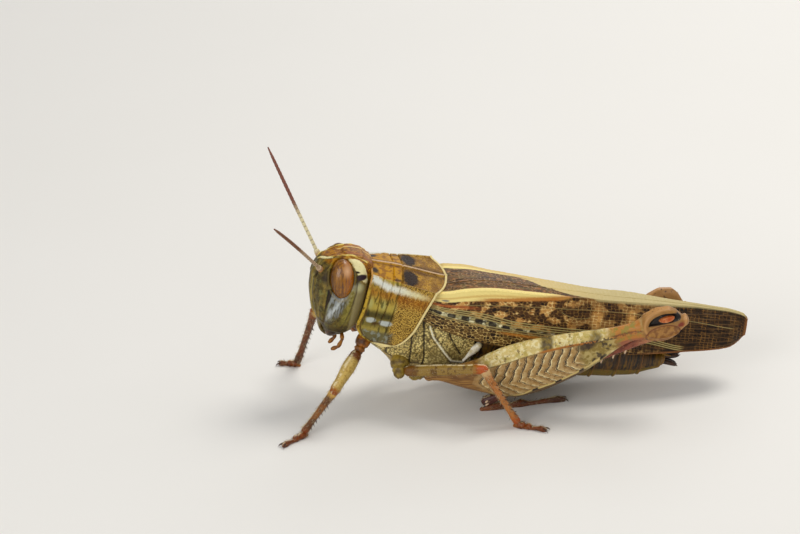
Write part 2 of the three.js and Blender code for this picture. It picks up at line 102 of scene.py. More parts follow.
# %% Curve helpers
def through(*stations):
    """Smooth curve through (at, value) stations that never overshoots them."""
    at, value = np.array(stations, float).T
    step = np.diff(at)
    slope = np.diff(value) / step
    tangent = np.zeros(len(at))
    product = slope[:-1] * slope[1:]
    total = np.where(product > 0, slope[:-1] + slope[1:], 1)
    tangent[1:-1] = np.where(product > 0, 2 * product / total, 0)

    def curve(x):
        x = np.clip(np.asarray(x, float), at[0], at[-1])
        i = np.clip(np.searchsorted(at, x, side="right") - 1, 0, len(step) - 1)
        t = (x - at[i]) / step[i]
        start, end = tangent[i] * step[i], tangent[i + 1] * step[i]
        rise = value[i + 1] - value[i]
        return value[i] + t * (start + t * (3 * rise - 2 * start - end + t * (start + end - 2 * rise)))

    return curve


def blend(value, low, high):
    """Smooth step: 0 at low, 1 at high, for numbers or arrays."""
    t = np.clip((np.asarray(value, float) - low) / (high - low), 0, 1)
    return t * t * (3 - 2 * t)


def ridge(distance, width):
    """A rounded ridge's height, 1 on its line and 0 well away from it."""
    return np.exp(-((distance / width) ** 2))


def oval(angle, squareness):
    """Point of a unit superellipse; a squareness of 2 is a circle."""
    power = 2 / squareness
    c, s = np.cos(angle), np.sin(angle)
    return np.sign(c) * np.abs(c) ** power, np.sign(s) * np.abs(s) ** power


def unit(vector):
    vector = np.asarray(vector, float)
    return vector / np.linalg.norm(vector, axis=-1, keepdims=True)


def mixed(a, b, t):
    return a + (b - a) * t


def line_distance(points, line):
    """Distance of each point from a line of stations, in as many dimensions as the stations have."""
    best = np.full(points.shape[:-1], np.inf)
    line = np.array(line, float)
    for a, b in zip(line[:-1], line[1:]):
        run = b - a
        t = np.clip(((points - a) @ run) / (run @ run), 0, 1)
        best = np.minimum(best, np.linalg.norm(points - a - t[..., None] * run, axis=-1))
    return best


print("halfway from 0 to 1:", float(through((0, 0), (1, 1))(0.5)))

# %% [markdown]
# ## Forms
# Every hard plate of the animal is a closed skin. A primitive squashed into place would show its
# poles and corners, so each piece is a grid of points that a function puts in place, row by row. Fine
# shape, such as keels, grooves and veins, is added by moving each point along the surface's own normal.
# A form also keeps named numbers for its points, such as the distance from a groove, and the materials
# read these to put colour exactly where the shape is.

# %% The form class
DETAIL = 1.0


def steps(count):
    """How many rows to make: fewer while trying things out."""
    return max(4, round(count * DETAIL))


class Form:
    """Points, faces and per-point fields of one piece, in millimetres."""

    def __init__(self):
        self.blocks, self.faces, self.size = [], [], 0

    def add(self, points, **fields):
        points = np.asarray(points, float)
        shape = points.shape[:-1]
        flat = {}
        for name, value in fields.items():
            value = np.asarray(value, float)
            vector = value.ndim > 0 and value.shape[-1] == 3 and value.ndim == len(shape) + 1
            flat[name] = np.broadcast_to(value, shape + (3,) if vector else shape)
            flat[name] = flat[name].reshape(-1, 3) if vector else flat[name].reshape(-1)
        self.blocks.append((points.reshape(-1, 3), flat))
        start, count = self.size, math.prod(shape)
        self.size += count
        return start + np.arange(count).reshape(shape)

    def grid(self, points, around=False, **fields):
        """Quads over rows of points; around also joins each row's last point to its first."""
        index = self.add(points, **fields)
        left = index if around else index[:, :-1]
        right = np.roll(index, -1, 1) if around else index[:, 1:]
        self.faces += np.stack([left[:-1], right[:-1], right[1:], left[1:]], -1).reshape(-1, 4).tolist()
        return index

    def tube(self, rings, **fields):
        """Closed rings in a row, with a point in the middle of each end."""
        for name, value in fields.items():
            if np.ndim(value) < 2:  # one number or one vector for every point
                fields[name] = np.broadcast_to(value, rings.shape[:2] + np.shape(value))
        index = self.grid(rings, around=True, **fields)
        for end in (0, -1):
            means = {name: np.asarray(value)[end].mean(0)[None] for name, value in fields.items()}
            middle = int(self.add(rings[end].mean(0)[None], **means)[0])
            ring = index[end]
            self.faces += [[int(a), int(b), middle] for a, b in zip(ring, np.roll(ring, -1))]

    def bridge(self, a, b):
        """Triangles between two lines of points that run side by side, however many each has."""
        i = j = 0
        while i < len(a) - 1 or j < len(b) - 1:
            next_a, next_b = (i + 1) / (len(a) - 1), (j + 1) / (len(b) - 1)
            if j == len(b) - 1 or (i < len(a) - 1 and next_a <= next_b):
                self.faces.append([int(a[i]), int(a[i + 1]), int(b[j])])
                i += 1
            else:
                self.faces.append([int(a[i]), int(b[j + 1]), int(b[j])])
                j += 1

    def plate(self, surface, rows, columns, coarse=(14, 14)):
        """A thin closed plate: surface(u, v, under) gives points and fields of either face."""
        sheets = []
        for under, (n, m) in enumerate([(rows, columns), coarse]):
            v, u = np.meshgrid(np.linspace(0, 1, m), np.linspace(0, 1, n))
            points, fields = surface(u, v, bool(under))
            sheets.append(self.grid(points, **fields))
        top, bottom = sheets
        for edge in (np.s_[0], np.s_[-1], np.s_[:, 0], np.s_[:, -1]):
            self.bridge(top[edge], bottom[edge])


def normals(points, around=False):
    """Unit normals of a grid of points, pointing away from the middle of its rows."""
    along = np.gradient(points, axis=0)
    if around:
        across = np.roll(points, -1, 1) - np.roll(points, 1, 1)
    else:
        across = np.gradient(points, axis=1)
    normal = np.cross(along, across)
    normal /= np.maximum(np.linalg.norm(normal, axis=2, keepdims=True), 1e-9)
    outward = points - points.mean(axis=1, keepdims=True)
    return normal if (normal * outward).sum() > 0 else -normal


def lifted(points, height, around=False):
    return points + normals(points, around) * np.asarray(height)[..., None]


# %% Turn a form into a piece of the model
WELD = 1e-4  # millimetres: points closer than this become one


def in_scene(name, data):
    """An object of the scene that holds the data."""
    thing = bpy.data.objects.new(name, data)
    bpy.context.scene.collection.objects.link(thing)
    return thing


def on_frame(name, mesh, finish):
    """The object of a finished mesh, riding on the frame."""
    mesh.shade_smooth()
    mesh.materials.append(finish.material)
    thing = in_scene(name, mesh)
    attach(thing, "root")
    return thing


def piece(name, form, finish, slot, *nodes):
    """Makes the mesh object of a form. It rides on the frame, and the CAD nodes named are hidden."""
    points = np.concatenate([block for block, _ in form.blocks]) * MM
    mesh = bpy.data.meshes.new(name)
    mesh.from_pydata(points.tolist(), [], form.faces)
    names = sorted({field for _, fields in form.blocks for field in fields})
    for field in names:
        sample = next(fields[field] for _, fields in form.blocks if field in fields)
        vector = sample.ndim == 2
        parts = [
            fields[field] if field in fields else np.zeros((len(block), 3) if vector else len(block))
            for block, fields in form.blocks
        ]
        kind = "FLOAT_VECTOR" if vector else "FLOAT"
        values = mesh.attributes.new(field, kind, "POINT").data
        values.foreach_set("vector" if vector else "value", np.concatenate(parts).ravel())
    shaped = bmesh.new()
    shaped.from_mesh(mesh)
    bmesh.ops.remove_doubles(shaped, verts=shaped.verts, dist=WELD * MM)
    bmesh.ops.recalc_face_normals(shaped, faces=shaped.faces)
    shaped.to_mesh(mesh)
    shaped.free()
    thing = on_frame(name, mesh, finish)
    if nodes:
        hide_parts(*nodes)
    print(f"{name}: {len(mesh.polygons)} faces")


# %% [markdown]
# ## Finishes
# Hard cuticle is pigment under a clear, slightly glossy skin. Painted pictures could show the markings,
# but they blur close up and come loose from the shape. So every finish is worked out by nodes from the
# fields that the forms carry. The class below lets that be written as ordinary sums: a value wraps a
# socket, and adding or multiplying values adds the Math nodes that do it.


# %% Shader values
def operator(operation, reflected=False):
    """A method that puts a value, and what it is combined with, through one Math node."""

    def method(self, *others):
        inputs = [*others, self] if reflected else [self, *others]
        return self.finish.node("Math", {"operation": operation}, inputs)

    return method


class Value:
    """A number or vector in a finish's node tree."""

    def __init__(self, finish, socket):
        self.finish, self.socket = finish, socket

    __add__ = __radd__ = operator("ADD")
    __mul__ = __rmul__ = operator("MULTIPLY")
    __sub__, __rsub__ = operator("SUBTRACT"), operator("SUBTRACT", reflected=True)
    __truediv__, __rtruediv__ = operator("DIVIDE"), operator("DIVIDE", reflected=True)
    __pow__, __rpow__ = operator("POWER"), operator("POWER", reflected=True)
    __abs__ = operator("ABSOLUTE")
    most = operator("MAXIMUM")
    pingpong = operator("PINGPONG")


def tone(code):
    """A paint-chart colour, such as 8a6b33, as the linear light a shader works in."""
    parts = [int(code[i : i + 2], 16) / 255 for i in (0, 2, 4)]
    return tuple(p / 12.92 if p <= 0.04045 else ((p + 0.055) / 1.055) ** 2.4 for p in parts) + (1.0,)


# %% The finish class
NOISE_ROUGHNESS = 0.55  # how strong each finer layer of noise is, beside the one before


class Finish:
    """A material: one Principled shader, and the nodes that feed it."""

    def __init__(self, name, **constants):
        self.material = bpy.data.materials.new(name)
        self.material.use_nodes = True
        self.tree, self.place = self.material.node_tree, None
        self.shader = self.tree.nodes["Principled BSDF"]
        self.feed(self.shader, {socket.replace("_", " "): value for socket, value in constants.items()})

    def feed(self, node, inputs):
        """Sets a node's sockets: a value of the tree is linked, and anything else is a constant."""
        for key, value in inputs.items() if isinstance(inputs, dict) else enumerate(inputs):
            if isinstance(value, Value):
                self.tree.links.new(value.socket, node.inputs[key])
            elif value is not None:
                node.inputs[key].default_value = value

    def node(self, kind, settings, inputs=(), output=0):
        """Adds a node: its settings first, then the values or links of its sockets."""
        added = self.tree.nodes.new("ShaderNode" + kind)
        for key, value in settings.items():
            setattr(added, key, value)
        self.feed(added, inputs)
        return Value(self, added.outputs[output])

    def read(self, field):
        """A number that the form keeps for each of its points."""
        return self.node("Attribute", {"attribute_name": field}, output="Fac")

    def reads(self, fields):
        return [self.read(field) for field in fields.split()]

    def spot(self):
        """The place on the piece, in millimetres, as a vector."""
        if self.place is None:
            self.place = self.node("Attribute", {"attribute_name": "spot"}, output="Vector")
        return self.place

    def axes(self):
        """The same place as three numbers."""
        return [self.node("SeparateXYZ", {}, [self.spot()], output=axis) for axis in range(3)]

    def mix(self, a, b, mask):
        """From a to b by the mask. Either may be a paint-chart colour or a value."""
        a, b = (tone(c) if isinstance(c, str) else c for c in (a, b))
        return self.node("Mix", {"data_type": "RGBA"}, {0: mask, 6: a, 7: b}, output=2)

    def over(self, base, *layers):
        """Paints (colour, mask) layers over a base colour, in turn."""
        for colour, mask in layers:
            base = self.mix(base, colour, mask)
        return base

    def ramp(self, value, low, high):
        """Smooth step: 0 at low and 1 at high."""
        settings = {"interpolation_type": "SMOOTHSTEP"}
        return self.node("MapRange", settings, [value, low, high, 0.0, 1.0])

    def near(self, distance, width, soft):
        """1 within width of a line, fading over soft to 0."""
        return self.ramp(distance, width + soft, width - soft)

    def length(self, x, y):
        """Distance of the point (x, y) from the origin."""
        return (x * x + y * y) ** 0.5

    def blob(self, x, y, ragged, width, soft):
        """A round patch with a ragged rim, where x and y are already counted from its middle."""
        return self.near(self.length(x, y) + ragged, width, soft)

    def noise(self, scale, detail=3.0, stretch=None):
        """Noise over the piece. Stretch gives how much finer it is along each axis."""
        where = self.spot()
        if stretch:
            where = self.node("VectorMath", {"operation": "MULTIPLY"}, [where, stretch])
        inputs = {"Vector": where, "Scale": scale, "Detail": detail, "Roughness": NOISE_ROUGHNESS}
        return self.node("TexNoise", {}, inputs)

    def patchy(self, scale, low, high, detail=3.0, stretch=None):
        """Irregular patches or specks: 1 where the noise is past high, 0 where it is short of low."""
        return self.ramp(self.noise(scale, detail, stretch), low, high)

    def cells(self, scale):
        """Distance from the nearest of many scattered points."""
        return self.node("TexVoronoi", {}, {"Vector": self.spot(), "Scale": scale}, output="Distance")

    def surface(self, colour, roughness=None, height=None, relief=0.02, richer=None):
        """Feeds the shader: colour, roughness, and relief whose height 0..1 is so many millimetres."""
        if richer:
            inputs = {"Saturation": richer, "Color": colour}
            colour = self.node("HueSaturation", {}, inputs, output="Color")
        normal = None
        if height is not None:
            normal = self.node("Bump", {}, {"Distance": relief * MM, "Height": height}, output="Normal")
        self.feed(self.shader, {"Base Color": colour, "Roughness": roughness, "Normal": normal})
        return self


print("a mid tan in linear light:", [round(c, 3) for c in tone("a58538")])

# %% [markdown]
# ## Camera, light and floor
# The animal is a little under 37 mm long, so the camera is a long lens held well back: near enough to a
# flat view to show true proportions, and just enough perspective to feel like a close-up. A wide panel
# overhead and behind stands for a bright sky, and a weaker one in front opens the shadows. The floor is
# plain and pale, so that every colour seen on the animal is its own.

# %% Camera
CAMERA_TURN, CAMERA_RISE = math.radians(-7), math.radians(27)
CAMERA_DISTANCE = 340.0
VIEW_WIDTH = 61.53846154  # millimetres across the view, at the animal
LOOKED_AT = from_standing([0, 0, 4.15])
FRAMED_ASIDE = (-9.23076923, 6.0)  # how far the view's middle is from that, right and up
SENSOR_WIDTH = 36.0


def point_camera():
    back = np.array([
        math.sin(CAMERA_TURN) * math.cos(CAMERA_RISE),
        -math.cos(CAMERA_TURN) * math.cos(CAMERA_RISE),
        math.sin(CAMERA_RISE),
    ])
    right = np.array([math.cos(CAMERA_TURN), math.sin(CAMERA_TURN), 0])
    up = np.cross(back, right)
    place = LOOKED_AT + back * CAMERA_DISTANCE
    aim = LOOKED_AT + right * FRAMED_ASIDE[0] + up * FRAMED_ASIDE[1]
    level = Vector(-back).to_track_quat("-Z", "Y")
    pan = Vector(-back).rotation_difference(Vector(unit(aim - place)))
    lens = bpy.data.cameras.new("camera")
    lens.sensor_width = SENSOR_WIDTH
    lens.lens = SENSOR_WIDTH * CAMERA_DISTANCE / VIEW_WIDTH
    lens.clip_start, lens.clip_end = 0.005, 20.0
    camera = in_scene("camera", lens)
    camera.rotation_mode = "QUATERNION"
    camera.rotation_quaternion = pan @ level
    camera.location = place * MM
    bpy.context.scene.camera = camera
    return camera


camera = point_camera()
print("lens:", round(camera.data.lens, 1), "mm")


# %% Lights and sky
def panel(name, place, size, strength, colour=(1, 1, 1)):
    """A square soft light that faces the animal. Place and size are in millimetres."""
    lamp = bpy.data.lights.new(name, "AREA")
    lamp.shape = "SQUARE"
    lamp.size = size * MM
    distance = np.linalg.norm(place)
    lamp.energy = strength * (distance * MM) ** 2
    lamp.color = colour
    light = in_scene(name, lamp)
    light.location = Vector(place) * MM
    light.rotation_mode = "QUATERNION"
    light.rotation_quaternion = (-light.location).to_track_quat("-Z", "Y")


panel("key_light", (90, 30, 190), 90, 4.6, (1.0, 0.97, 0.92))
panel("front_light", (-120, -160, 110), 120, 3.4)
panel("back_light", (60, 170, 90), 120, 1.6)

world = bpy.data.worlds.new("sky")
bpy.context.scene.world = world
world.use_nodes = True
sky = world.node_tree.nodes["Background"]
sky.inputs["Color"].default_value = (1, 1, 1, 1)
sky.inputs["Strength"].default_value = 0.42
bpy.context.scene.view_settings.view_transform = "Standard"

# %% Floor
floor_finish = Finish("floor_pale", Roughness=0.9)
floor_finish.place = floor_finish.node("TexCoord", {}, output="Object")
floor_finish.surface(floor_finish.mix("e9e7e2", "edebe7", floor_finish.noise(30)))
floor_mesh = bpy.data.meshes.new("floor")
FLOOR_REACH = 1.5  # metres, from the middle to each edge
corners = [(x * FLOOR_REACH, y * FLOOR_REACH, 0) for x, y in ((-1, -1), (1, -1), (1, 1), (-1, 1))]
floor_mesh.from_pydata(corners, [], [(0, 1, 2, 3)])
floor_mesh.materials.append(floor_finish.material)
floor = in_scene("floor", floor_mesh)
print("floor is", 2 * FLOOR_REACH, "m across")

# %% [markdown]
# ## Limbs
# A leg joint, a feeler or a palp is a tube whose section changes along a path, with a round end beyond
# each joint. Blender's curves with a bevel would give one section only, so rings are set out along the
# path here, each with its own height, depth and width. The rings carry two fields: how far along the
# limb they lie, and the turn round it.


# %% Rings along a path
def limb(path, up, above, below, half, sides=24, squareness=2.0, shift=0.0, caps=5):
    """Rings round a path, with round ends. Sizes are arrays, one value for each point of the path."""
    path = np.asarray(path, float)
    count = len(path)
    above, below, half, shift = (np.broadcast_to(v, count).astype(float) for v in (above, below, half, shift))
    tangent = unit(np.gradient(path, axis=0))
    lift = np.linspace(0.1, math.pi / 2, caps, endpoint=False)
    row = np.concatenate([np.zeros(caps, int), np.arange(count), np.full(caps, count - 1)])
    scale = np.concatenate([np.sin(lift), np.ones(count), np.sin(lift[::-1])])
    reach = np.concatenate([-np.cos(lift), np.zeros(count), np.cos(lift[::-1])])
    reach = reach * ((above + below) / 2)[row]
    centre = path[row] + tangent[row] * reach[:, None]
    across = unit(np.cross(tangent[row], up))
    dorsal = np.cross(across, tangent[row])
    angle = np.linspace(0, 2 * math.pi, sides, endpoint=False)
    c, d = oval(angle, squareness)
    middle, tall = ((above - below) / 2)[row], ((above + below) / 2)[row]
    height = middle[:, None] + (scale * tall)[:, None] * d
    sideways = (scale * half[row])[:, None] * c + shift[row][:, None]
    points = centre[:, None] + dorsal[:, None] * height[..., None] + across[:, None] * sideways[..., None]
    travelled = np.concatenate([[0], np.cumsum(np.linalg.norm(np.diff(path, axis=0), axis=1))])
    along = np.broadcast_to((travelled[row] + reach)[:, None], points.shape[:2])
    turn = np.broadcast_to(angle, points.shape[:2])
    return points, along, turn


def between(start, end, count):
    """Points in a straight line."""
    t = np.linspace(0, 1, count)[:, None]
    return mixed(np.asarray(start, float), np.asarray(end, float), t)


def bent(start, middle, end, count):
    """Points on a curve that leaves start towards middle and arrives at end from it."""
    t = np.linspace(0, 1, count)[:, None]
    start, middle, end = (np.asarray(p, float) for p in (start, middle, end))
    return (1 - t) ** 2 * start + 2 * t * (1 - t) * middle + t**2 * end


def spike(form, root, direction, length, radius, sides=8, rings=6, bow=(0, 0, 0), **fields):
    """A spine or tooth: a cone that bows a little and ends in a point."""
    root, direction = np.asarray(root, float), unit(direction)
    path = between(root, root + direction * length, rings)
    t = np.linspace(0, 1, rings)
    path = path + np.outer(t**2, bow)
    side = unit(np.cross(direction, [0.3, 0.9, 0.31]))
    size = radius * (1 - t**1.4) + 0.004
    points, _, _ = limb(path, side, size, size, size, sides=sides, caps=1)
    far = np.concatenate([[0], t, [1]])[:, None] + np.zeros(sides)
    form.tube(points, tip=far, **fields)


# %% [markdown]
# ## Head capsule
# A grasshopper's head is a tall hard box. Down the face runs a broad ridge, hollowed along its middle,
# and the feelers stand in pits beside it. Fine keels run from each feeler and each eye towards the
# mouth, and a raised rim holds each eye. The capsule is a loft of rings stacked from crown to mouth, so
# that the outline comes from two side curves and one front curve. The relief is added along the normals.

# %% Head outline
HEAD_TOP, HEAD_BOTTOM, HEAD_DOME = 1.05, -5.35, 0.13
head_front = through((-5.4, -8.75), (-4.2, -9.52), (-3.2, -9.88), (-2.2, -10.12), (-1.1, -10.2), (0, -9.95),
    (0.4, -9.6), (0.8, -9.0), (1.05, -8.35))
head_back = through((-5.4, -7.1), (-4.6, -6.5), (-3.4, -6.0), (-1.2, -5.85), (0.25, -5.8), (0.6, -6.0),
    (1.05, -6.75))
head_half = through((-5.4, 1.5), (-4.9, 1.95), (-3.6, 2.33), (-2.2, 2.38), (-0.8, 2.12), (0.2, 1.75),
    (0.75, 1.45), (1.05, 1.1))
FEELER_ROOT = np.array([-9.35, 0.78, -0.85])
STRIPE_LINE = [(-9.75, 0.42, 0.25), (-9.1, 0.95, 0.75), (-8.3, 1.3, 1.06), (-7.5, 1.5, 0.85),
               (-6.9, 1.8, 0.4), (-6.4, 2.0, -0.1), (-5.9, 2.15, -0.6)]  # pale stripe over the eye
CHEEK_LINE = [(-8.92, -1.55), (-8.98, -2.6), (-9.0, -3.2), (-8.85, -4.6)]  # dark groove under the eye
REAR_LINE = [(-7.0, -0.2), (-6.95, -1.4), (-7.1, -2.8), (-7.4, -4.2), (-7.6, -4.9)]


def turned(axis, angle):
    """Matrix that turns points round one axis: 0 for x, 1 for y."""
    c, s = math.cos(angle), math.sin(angle)
    return np.array([[[1, 0, 0], [0, c, -s], [0, s, c]], [[c, 0, -s], [0, 1, 0], [s, 0, c]]][axis])


EYE_TURN = turned(0, EYE_TILT) @ turned(1, EYE_LEAN)


def eye_space(points):
    """Where each point is from the eye's centre, in the eye's own axes: 1 long on its surface."""
    return ((points - EYE_CENTRE) @ EYE_TURN) / EYE_RADII


def head_surface(rows, sides):
    dome = np.linspace(0.04, 1, max(4, rows // 12), endpoint=False) * math.pi / 2
    rise = (1 - np.cos(np.linspace(0, math.pi, rows))) / 2
    cap = HEAD_DOME * np.cos(dome)
    z = np.concatenate([HEAD_TOP + cap, mixed(HEAD_TOP, HEAD_BOTTOM, rise), HEAD_BOTTOM - cap[::-1]])
    scale = np.concatenate([np.sin(dome), np.ones(rows), np.sin(dome[::-1])])[:, None]
    level = np.clip(z, HEAD_BOTTOM, HEAD_TOP)
    turn = np.linspace(0, 2 * math.pi, sides, endpoint=False)
    rounded, boxy = oval(turn, 2.5), oval(turn, 5.0)
    c, s = (np.where(np.cos(turn) > 0, b, r) for b, r in zip(boxy, rounded))
    front, back, half = head_front(level)[:, None], head_back(level)[:, None], head_half(level)[:, None]
    x = (front + back) / 2 + c * scale * (back - front) / 2
    neck = blend(x, -6.9, -6.1) * (0.05 + 0.12 * blend(z, -1.5, 0.3)[:, None])
    y = s * scale * half * (1 - neck)
    return np.stack([x, y, np.broadcast_to(z[:, None], x.shape)], -1)


# %% Head relief
def head_relief(p):
    x, a, z = p[..., 0], np.abs(p[..., 1]), p[..., 2]
    mirrored = np.stack([x, a, z], -1)
    face = blend(x, -8.9, -9.35)
    tall = blend(z, -4.3, -3.9) * blend(z, 0.75, 0.2)
    width = mixed(0.5, 0.62, blend(z, -1.5, -4.0))
    costa = face * tall * blend(a, width + 0.12, width - 0.05)
    gutter = face * blend(z, -3.7, -2.6) * blend(z, -0.3, -1.2) * ridge(a, 0.26)
    pit = np.hypot(a - FEELER_ROOT[1] - 0.04, z - FEELER_ROOT[2])
    sockets = face * (0.07 * ridge(pit - 0.43, 0.09) - 0.2 * ridge(pit, 0.3))
    keel = line_distance(np.stack([a, z], -1), [(1.05, -1.35), (1.22, -2.6), (1.42, -4.2)])
    q = np.linalg.norm(eye_space(mirrored), axis=-1)
    brow = line_distance(mirrored, [(-10.0, 0.18, 0.05), (-9.55, 0.62, 0.45), (-8.9, 0.86, 0.88),
                                    (-7.6, 1.0, 1.08), (-6.5, 1.15, 0.75)])
    cheek = line_distance(p[..., ::2], CHEEK_LINE) + 3 * blend(a, 1.2, 0.7)
    rear = line_distance(p[..., ::2], REAR_LINE)
    mouth = np.abs(z + 4.28) + 3 * blend(x, -8.9, -8.5)
    crown = blend(z, 0.3, 0.7) * blend(a, 0.75, 0.45) * blend(x, -7.6, -8.6)
    height = 0.15 * costa - 0.09 * gutter + sockets
    height += 0.08 * blend(x, -8.6, -9.2) * ridge(keel, 0.08)
    height += 0.08 * ridge(q - 1.13, 0.06) - 0.25 * blend(q, 1.08, 0.95)
    height += 0.07 * ridge(brow, 0.07) - 0.06 * crown
    height -= 0.06 * ridge(cheek, 0.07) + 0.05 * ridge(rear, 0.08) + 0.06 * ridge(mouth, 0.06)
    stripe = line_distance(mirrored, STRIPE_LINE)
    height += 0.03 * ridge(stripe, 0.2) * blend(x, -7.9, -7.2)
    return height, dict(eye=q, brow=brow, cheek=cheek, rear=rear, stripe=stripe, pit=pit)


def make_head(finish):
    base = head_surface(steps(190), steps(230))
    height, fields = head_relief(base)
    form = Form()
    form.tube(from_body(lifted(base, height, around=True)), spot=base, **fields)
    piece("head", form, finish, "pale_olive_cuticle", "head")


# %% [markdown]
# ### Head colours
# The face is a dull olive with a greyish bloom. A cream stripe runs over each eye to the saddle. Between
# the two stripes the crown is golden and mottled. Behind the eye sits a velvety dark spot, under it a
# bluish-white cheek, and a black line drops from the eye to the jaw. Each is a mask from a field or from
# the place on the head, laid over the base colour in turn, with a little noise so that no edge is ruled.


# %% Head finish
def head_finish():
    f = Finish("head_cuticle", Specular_IOR_Level=0.28)
    x, y, z = f.axes()
    a = abs(y)
    wander = (f.noise(1.6) - 0.5) * 0.5
    fine = (f.noise(9) - 0.5) * 0.2
    eye, stripe, cheek, rear = f.reads("eye stripe cheek rear")
    crown = f.ramp(z + fine, 0.15, 0.5) * f.ramp(stripe, 0.1, 0.2) * f.ramp(a + fine, 1.75, 1.45)
    crown = crown.most(f.ramp(x + fine, -6.85, -6.6) * f.ramp(z + wander * 0.6, -0.9, 0.1))
    face = f.ramp(x + fine, -8.75, -9.1)
    slope = x - z * 0.45
    gena = f.ramp(x, -8.95, -8.7) * f.ramp(slope + wander, -6.2, -6.6) * f.ramp(z + wander, -4.6, -3.2)
    gena = gena * f.ramp(z, -0.5, -1.2)
    streak = f.near(abs(slope + 7 + fine), 0.16, 0.22) * gena
    yellow = f.near(abs(x + 7.05 - z * 0.1 + wander * 0.4), 0.22, 0.25)
    yellow = yellow * f.ramp(z, -0.7, -1.4) * f.ramp(z, -4.6, -3.6)
    purple = f.ramp(x + fine, -7.1, -6.9) * f.ramp(z, -0.6, -1.1)
    mottle = f.patchy(1.6, 0.4, 0.62, 4, stretch=(3.2, 2, 1.1))
    behind = f.blob((x + 6.72) / 0.5, (z + 0.22) / 0.26, fine, 0.85, 0.2)
    socket = f.blob((x + 9.3) / 0.55, (z + 0.75) / 0.6, fine, 0.8, 0.4)
    under_eye = f.blob((x + 6.75) / 0.4, (z + 0.95) / 0.45, fine, 0.7, 0.5)
    colour = f.over(
        f.mix("3f3518", "6e5f33", f.patchy(2.2, 0.35, 0.65, 4)),
        ("7f8050", f.patchy(3, 0.52, 0.66, 4) * 0.5),
        ("8d8a5e", f.near(abs(x + 8.95 + z * 0.05), 0.1, 0.14) * f.ramp(z, -0.6, -1) * f.ramp(z, -3.6, -2.6)
         * 0.8),
        ("7e8a2e", f.near(abs(x + 9.15 + z * 0.05), 0.06, 0.1) * f.ramp(z, -1.6, -2) * f.ramp(z, -3.8, -3)
         * 0.7),
        ("35280f", f.patchy(5, 0.54, 0.64, 4) * 0.75),
        ("8f7a44", face * f.patchy(1.4, 0.5, 0.64, stretch=(2, 2, 0.6)) * 0.7),
        ("b0a26a", face * f.near(abs(a - 0.6), 0.04, 0.06) * f.ramp(z, 0.3, 0) * 0.7),
        ("2a1f12", f.ramp(z + wander, -3.9, -4.9) * 0.65),
        ("2c2014", socket * 0.75),
        (f.mix("8b9092", "4d4a38", mottle), gena * 0.85),
        ("9c9150", yellow * 0.7),
        ("5c5220", yellow * f.patchy(3.4, 0.5, 0.6) * 0.7),
        ("cfd4d2", streak * f.patchy(1.6, 0.4, 0.6, stretch=(3, 2, 1)) * 0.8),
        ("4a2f1a", f.near(abs(x + 6.5 - z * 0.06), 0.16, 0.12) * f.ramp(z, -0.6, -1) * 0.9),
        (f.mix("8f8460", "6f5038", f.ramp(x + fine, -6.35, -6.15)), purple * 0.8),
        ("a08a55", f.near(abs(x + 6.25 - z * 0.06), 0.05, 0.06) * f.ramp(z, -0.4, -0.8) * 0.6),
        ("b8b48c", under_eye * 0.75),
        (f.mix("b5823a", "8a5a24", f.patchy(2.8, 0.4, 0.6)), crown),
        ("5a2f18", crown * f.patchy(3, 0.5, 0.6, 4, stretch=(0.7, 3, 1.4)) * 0.85),
        ("9c4a2a", crown * f.near(abs(a - 0.62 + fine), 0.1, 0.14) * f.ramp(x, -8.4, -7.9) * 0.55),
        ("ead79a", crown * f.near(abs(y - 0.45 - (x + 7.4) * 0.05), 0.06, 0.05) * f.ramp(x, -8.9, -8.5)
         * 0.8),
        ("e2cf86", f.near(f.read("brow"), 0.075, 0.035)),
        ("e6dcae", f.near(stripe + fine * 0.6, f.ramp(x, -8.2, -6.9) * 0.36 + 0.085, 0.04)),
        ("c9b98a", f.near(stripe, 0.35, 0.1) * f.ramp(x, -7.6, -7) * f.patchy(4, 0.52, 0.62, 4) * 0.6),
        ("2a1c12", f.blob((x + 7.15) / 0.28, (z - 0.12) / 0.1, fine, 0.8, 0.3)),
        ("2c1d24", behind),
        ("140d08", f.near(cheek + fine * 0.5, f.ramp(z, -3.2, -1.7) * 0.12 + 0.06, 0.05)
         * f.ramp(z, -3.6, -3)),
        ("3a2b1a", f.near(cheek + fine * 0.4, 0.06, 0.06) * 0.7),
        ("33221a", f.near(rear, 0.05, 0.05) * 0.8),
        ("3d2f1c", f.near(abs(z + 4.28), 0.04, 0.05) * face),
        ("2c1f12", f.near(f.read("pit"), 0.3, 0.1) * face * 0.85),
        ("2b1c10", f.near(eye, 1.03, 0.03)),
        ("9a8448", f.near(abs(eye - 1.13), 0.05, 0.04) * 0.25),
    )
    pores = f.cells(9)
    rough = f.noise(14) * 0.16 + 0.36
    return f.surface(colour, rough, pores * 0.6 + f.noise(22) * 0.6, 0.02, richer=1.15)


make_head(head_finish())

# %% [markdown]
# ## Eyes
# A compound eye is a smooth dome of thousands of tiny lenses. Modelling each would be lost at this size,
# so the dome is one finely divided ellipsoid and the lenses are relief in its finish. Real ones carry
# upright streaks of darker pigment and a clear gloss, which come from stretched noise and a coat.


# %% Eyes and simple eyes
def ellipsoid(radii, rows, sides):
    """Rings of an ellipsoid whose poles lie up and down."""
    turn = np.linspace(0, 2 * math.pi, sides, endpoint=False)
    down = np.linspace(0.03, math.pi - 0.03, rows)[:, None]
    points = [np.sin(down) * np.cos(turn), np.sin(down) * np.sin(turn), np.cos(down) + 0 * turn]
    return np.stack(points, -1) * radii


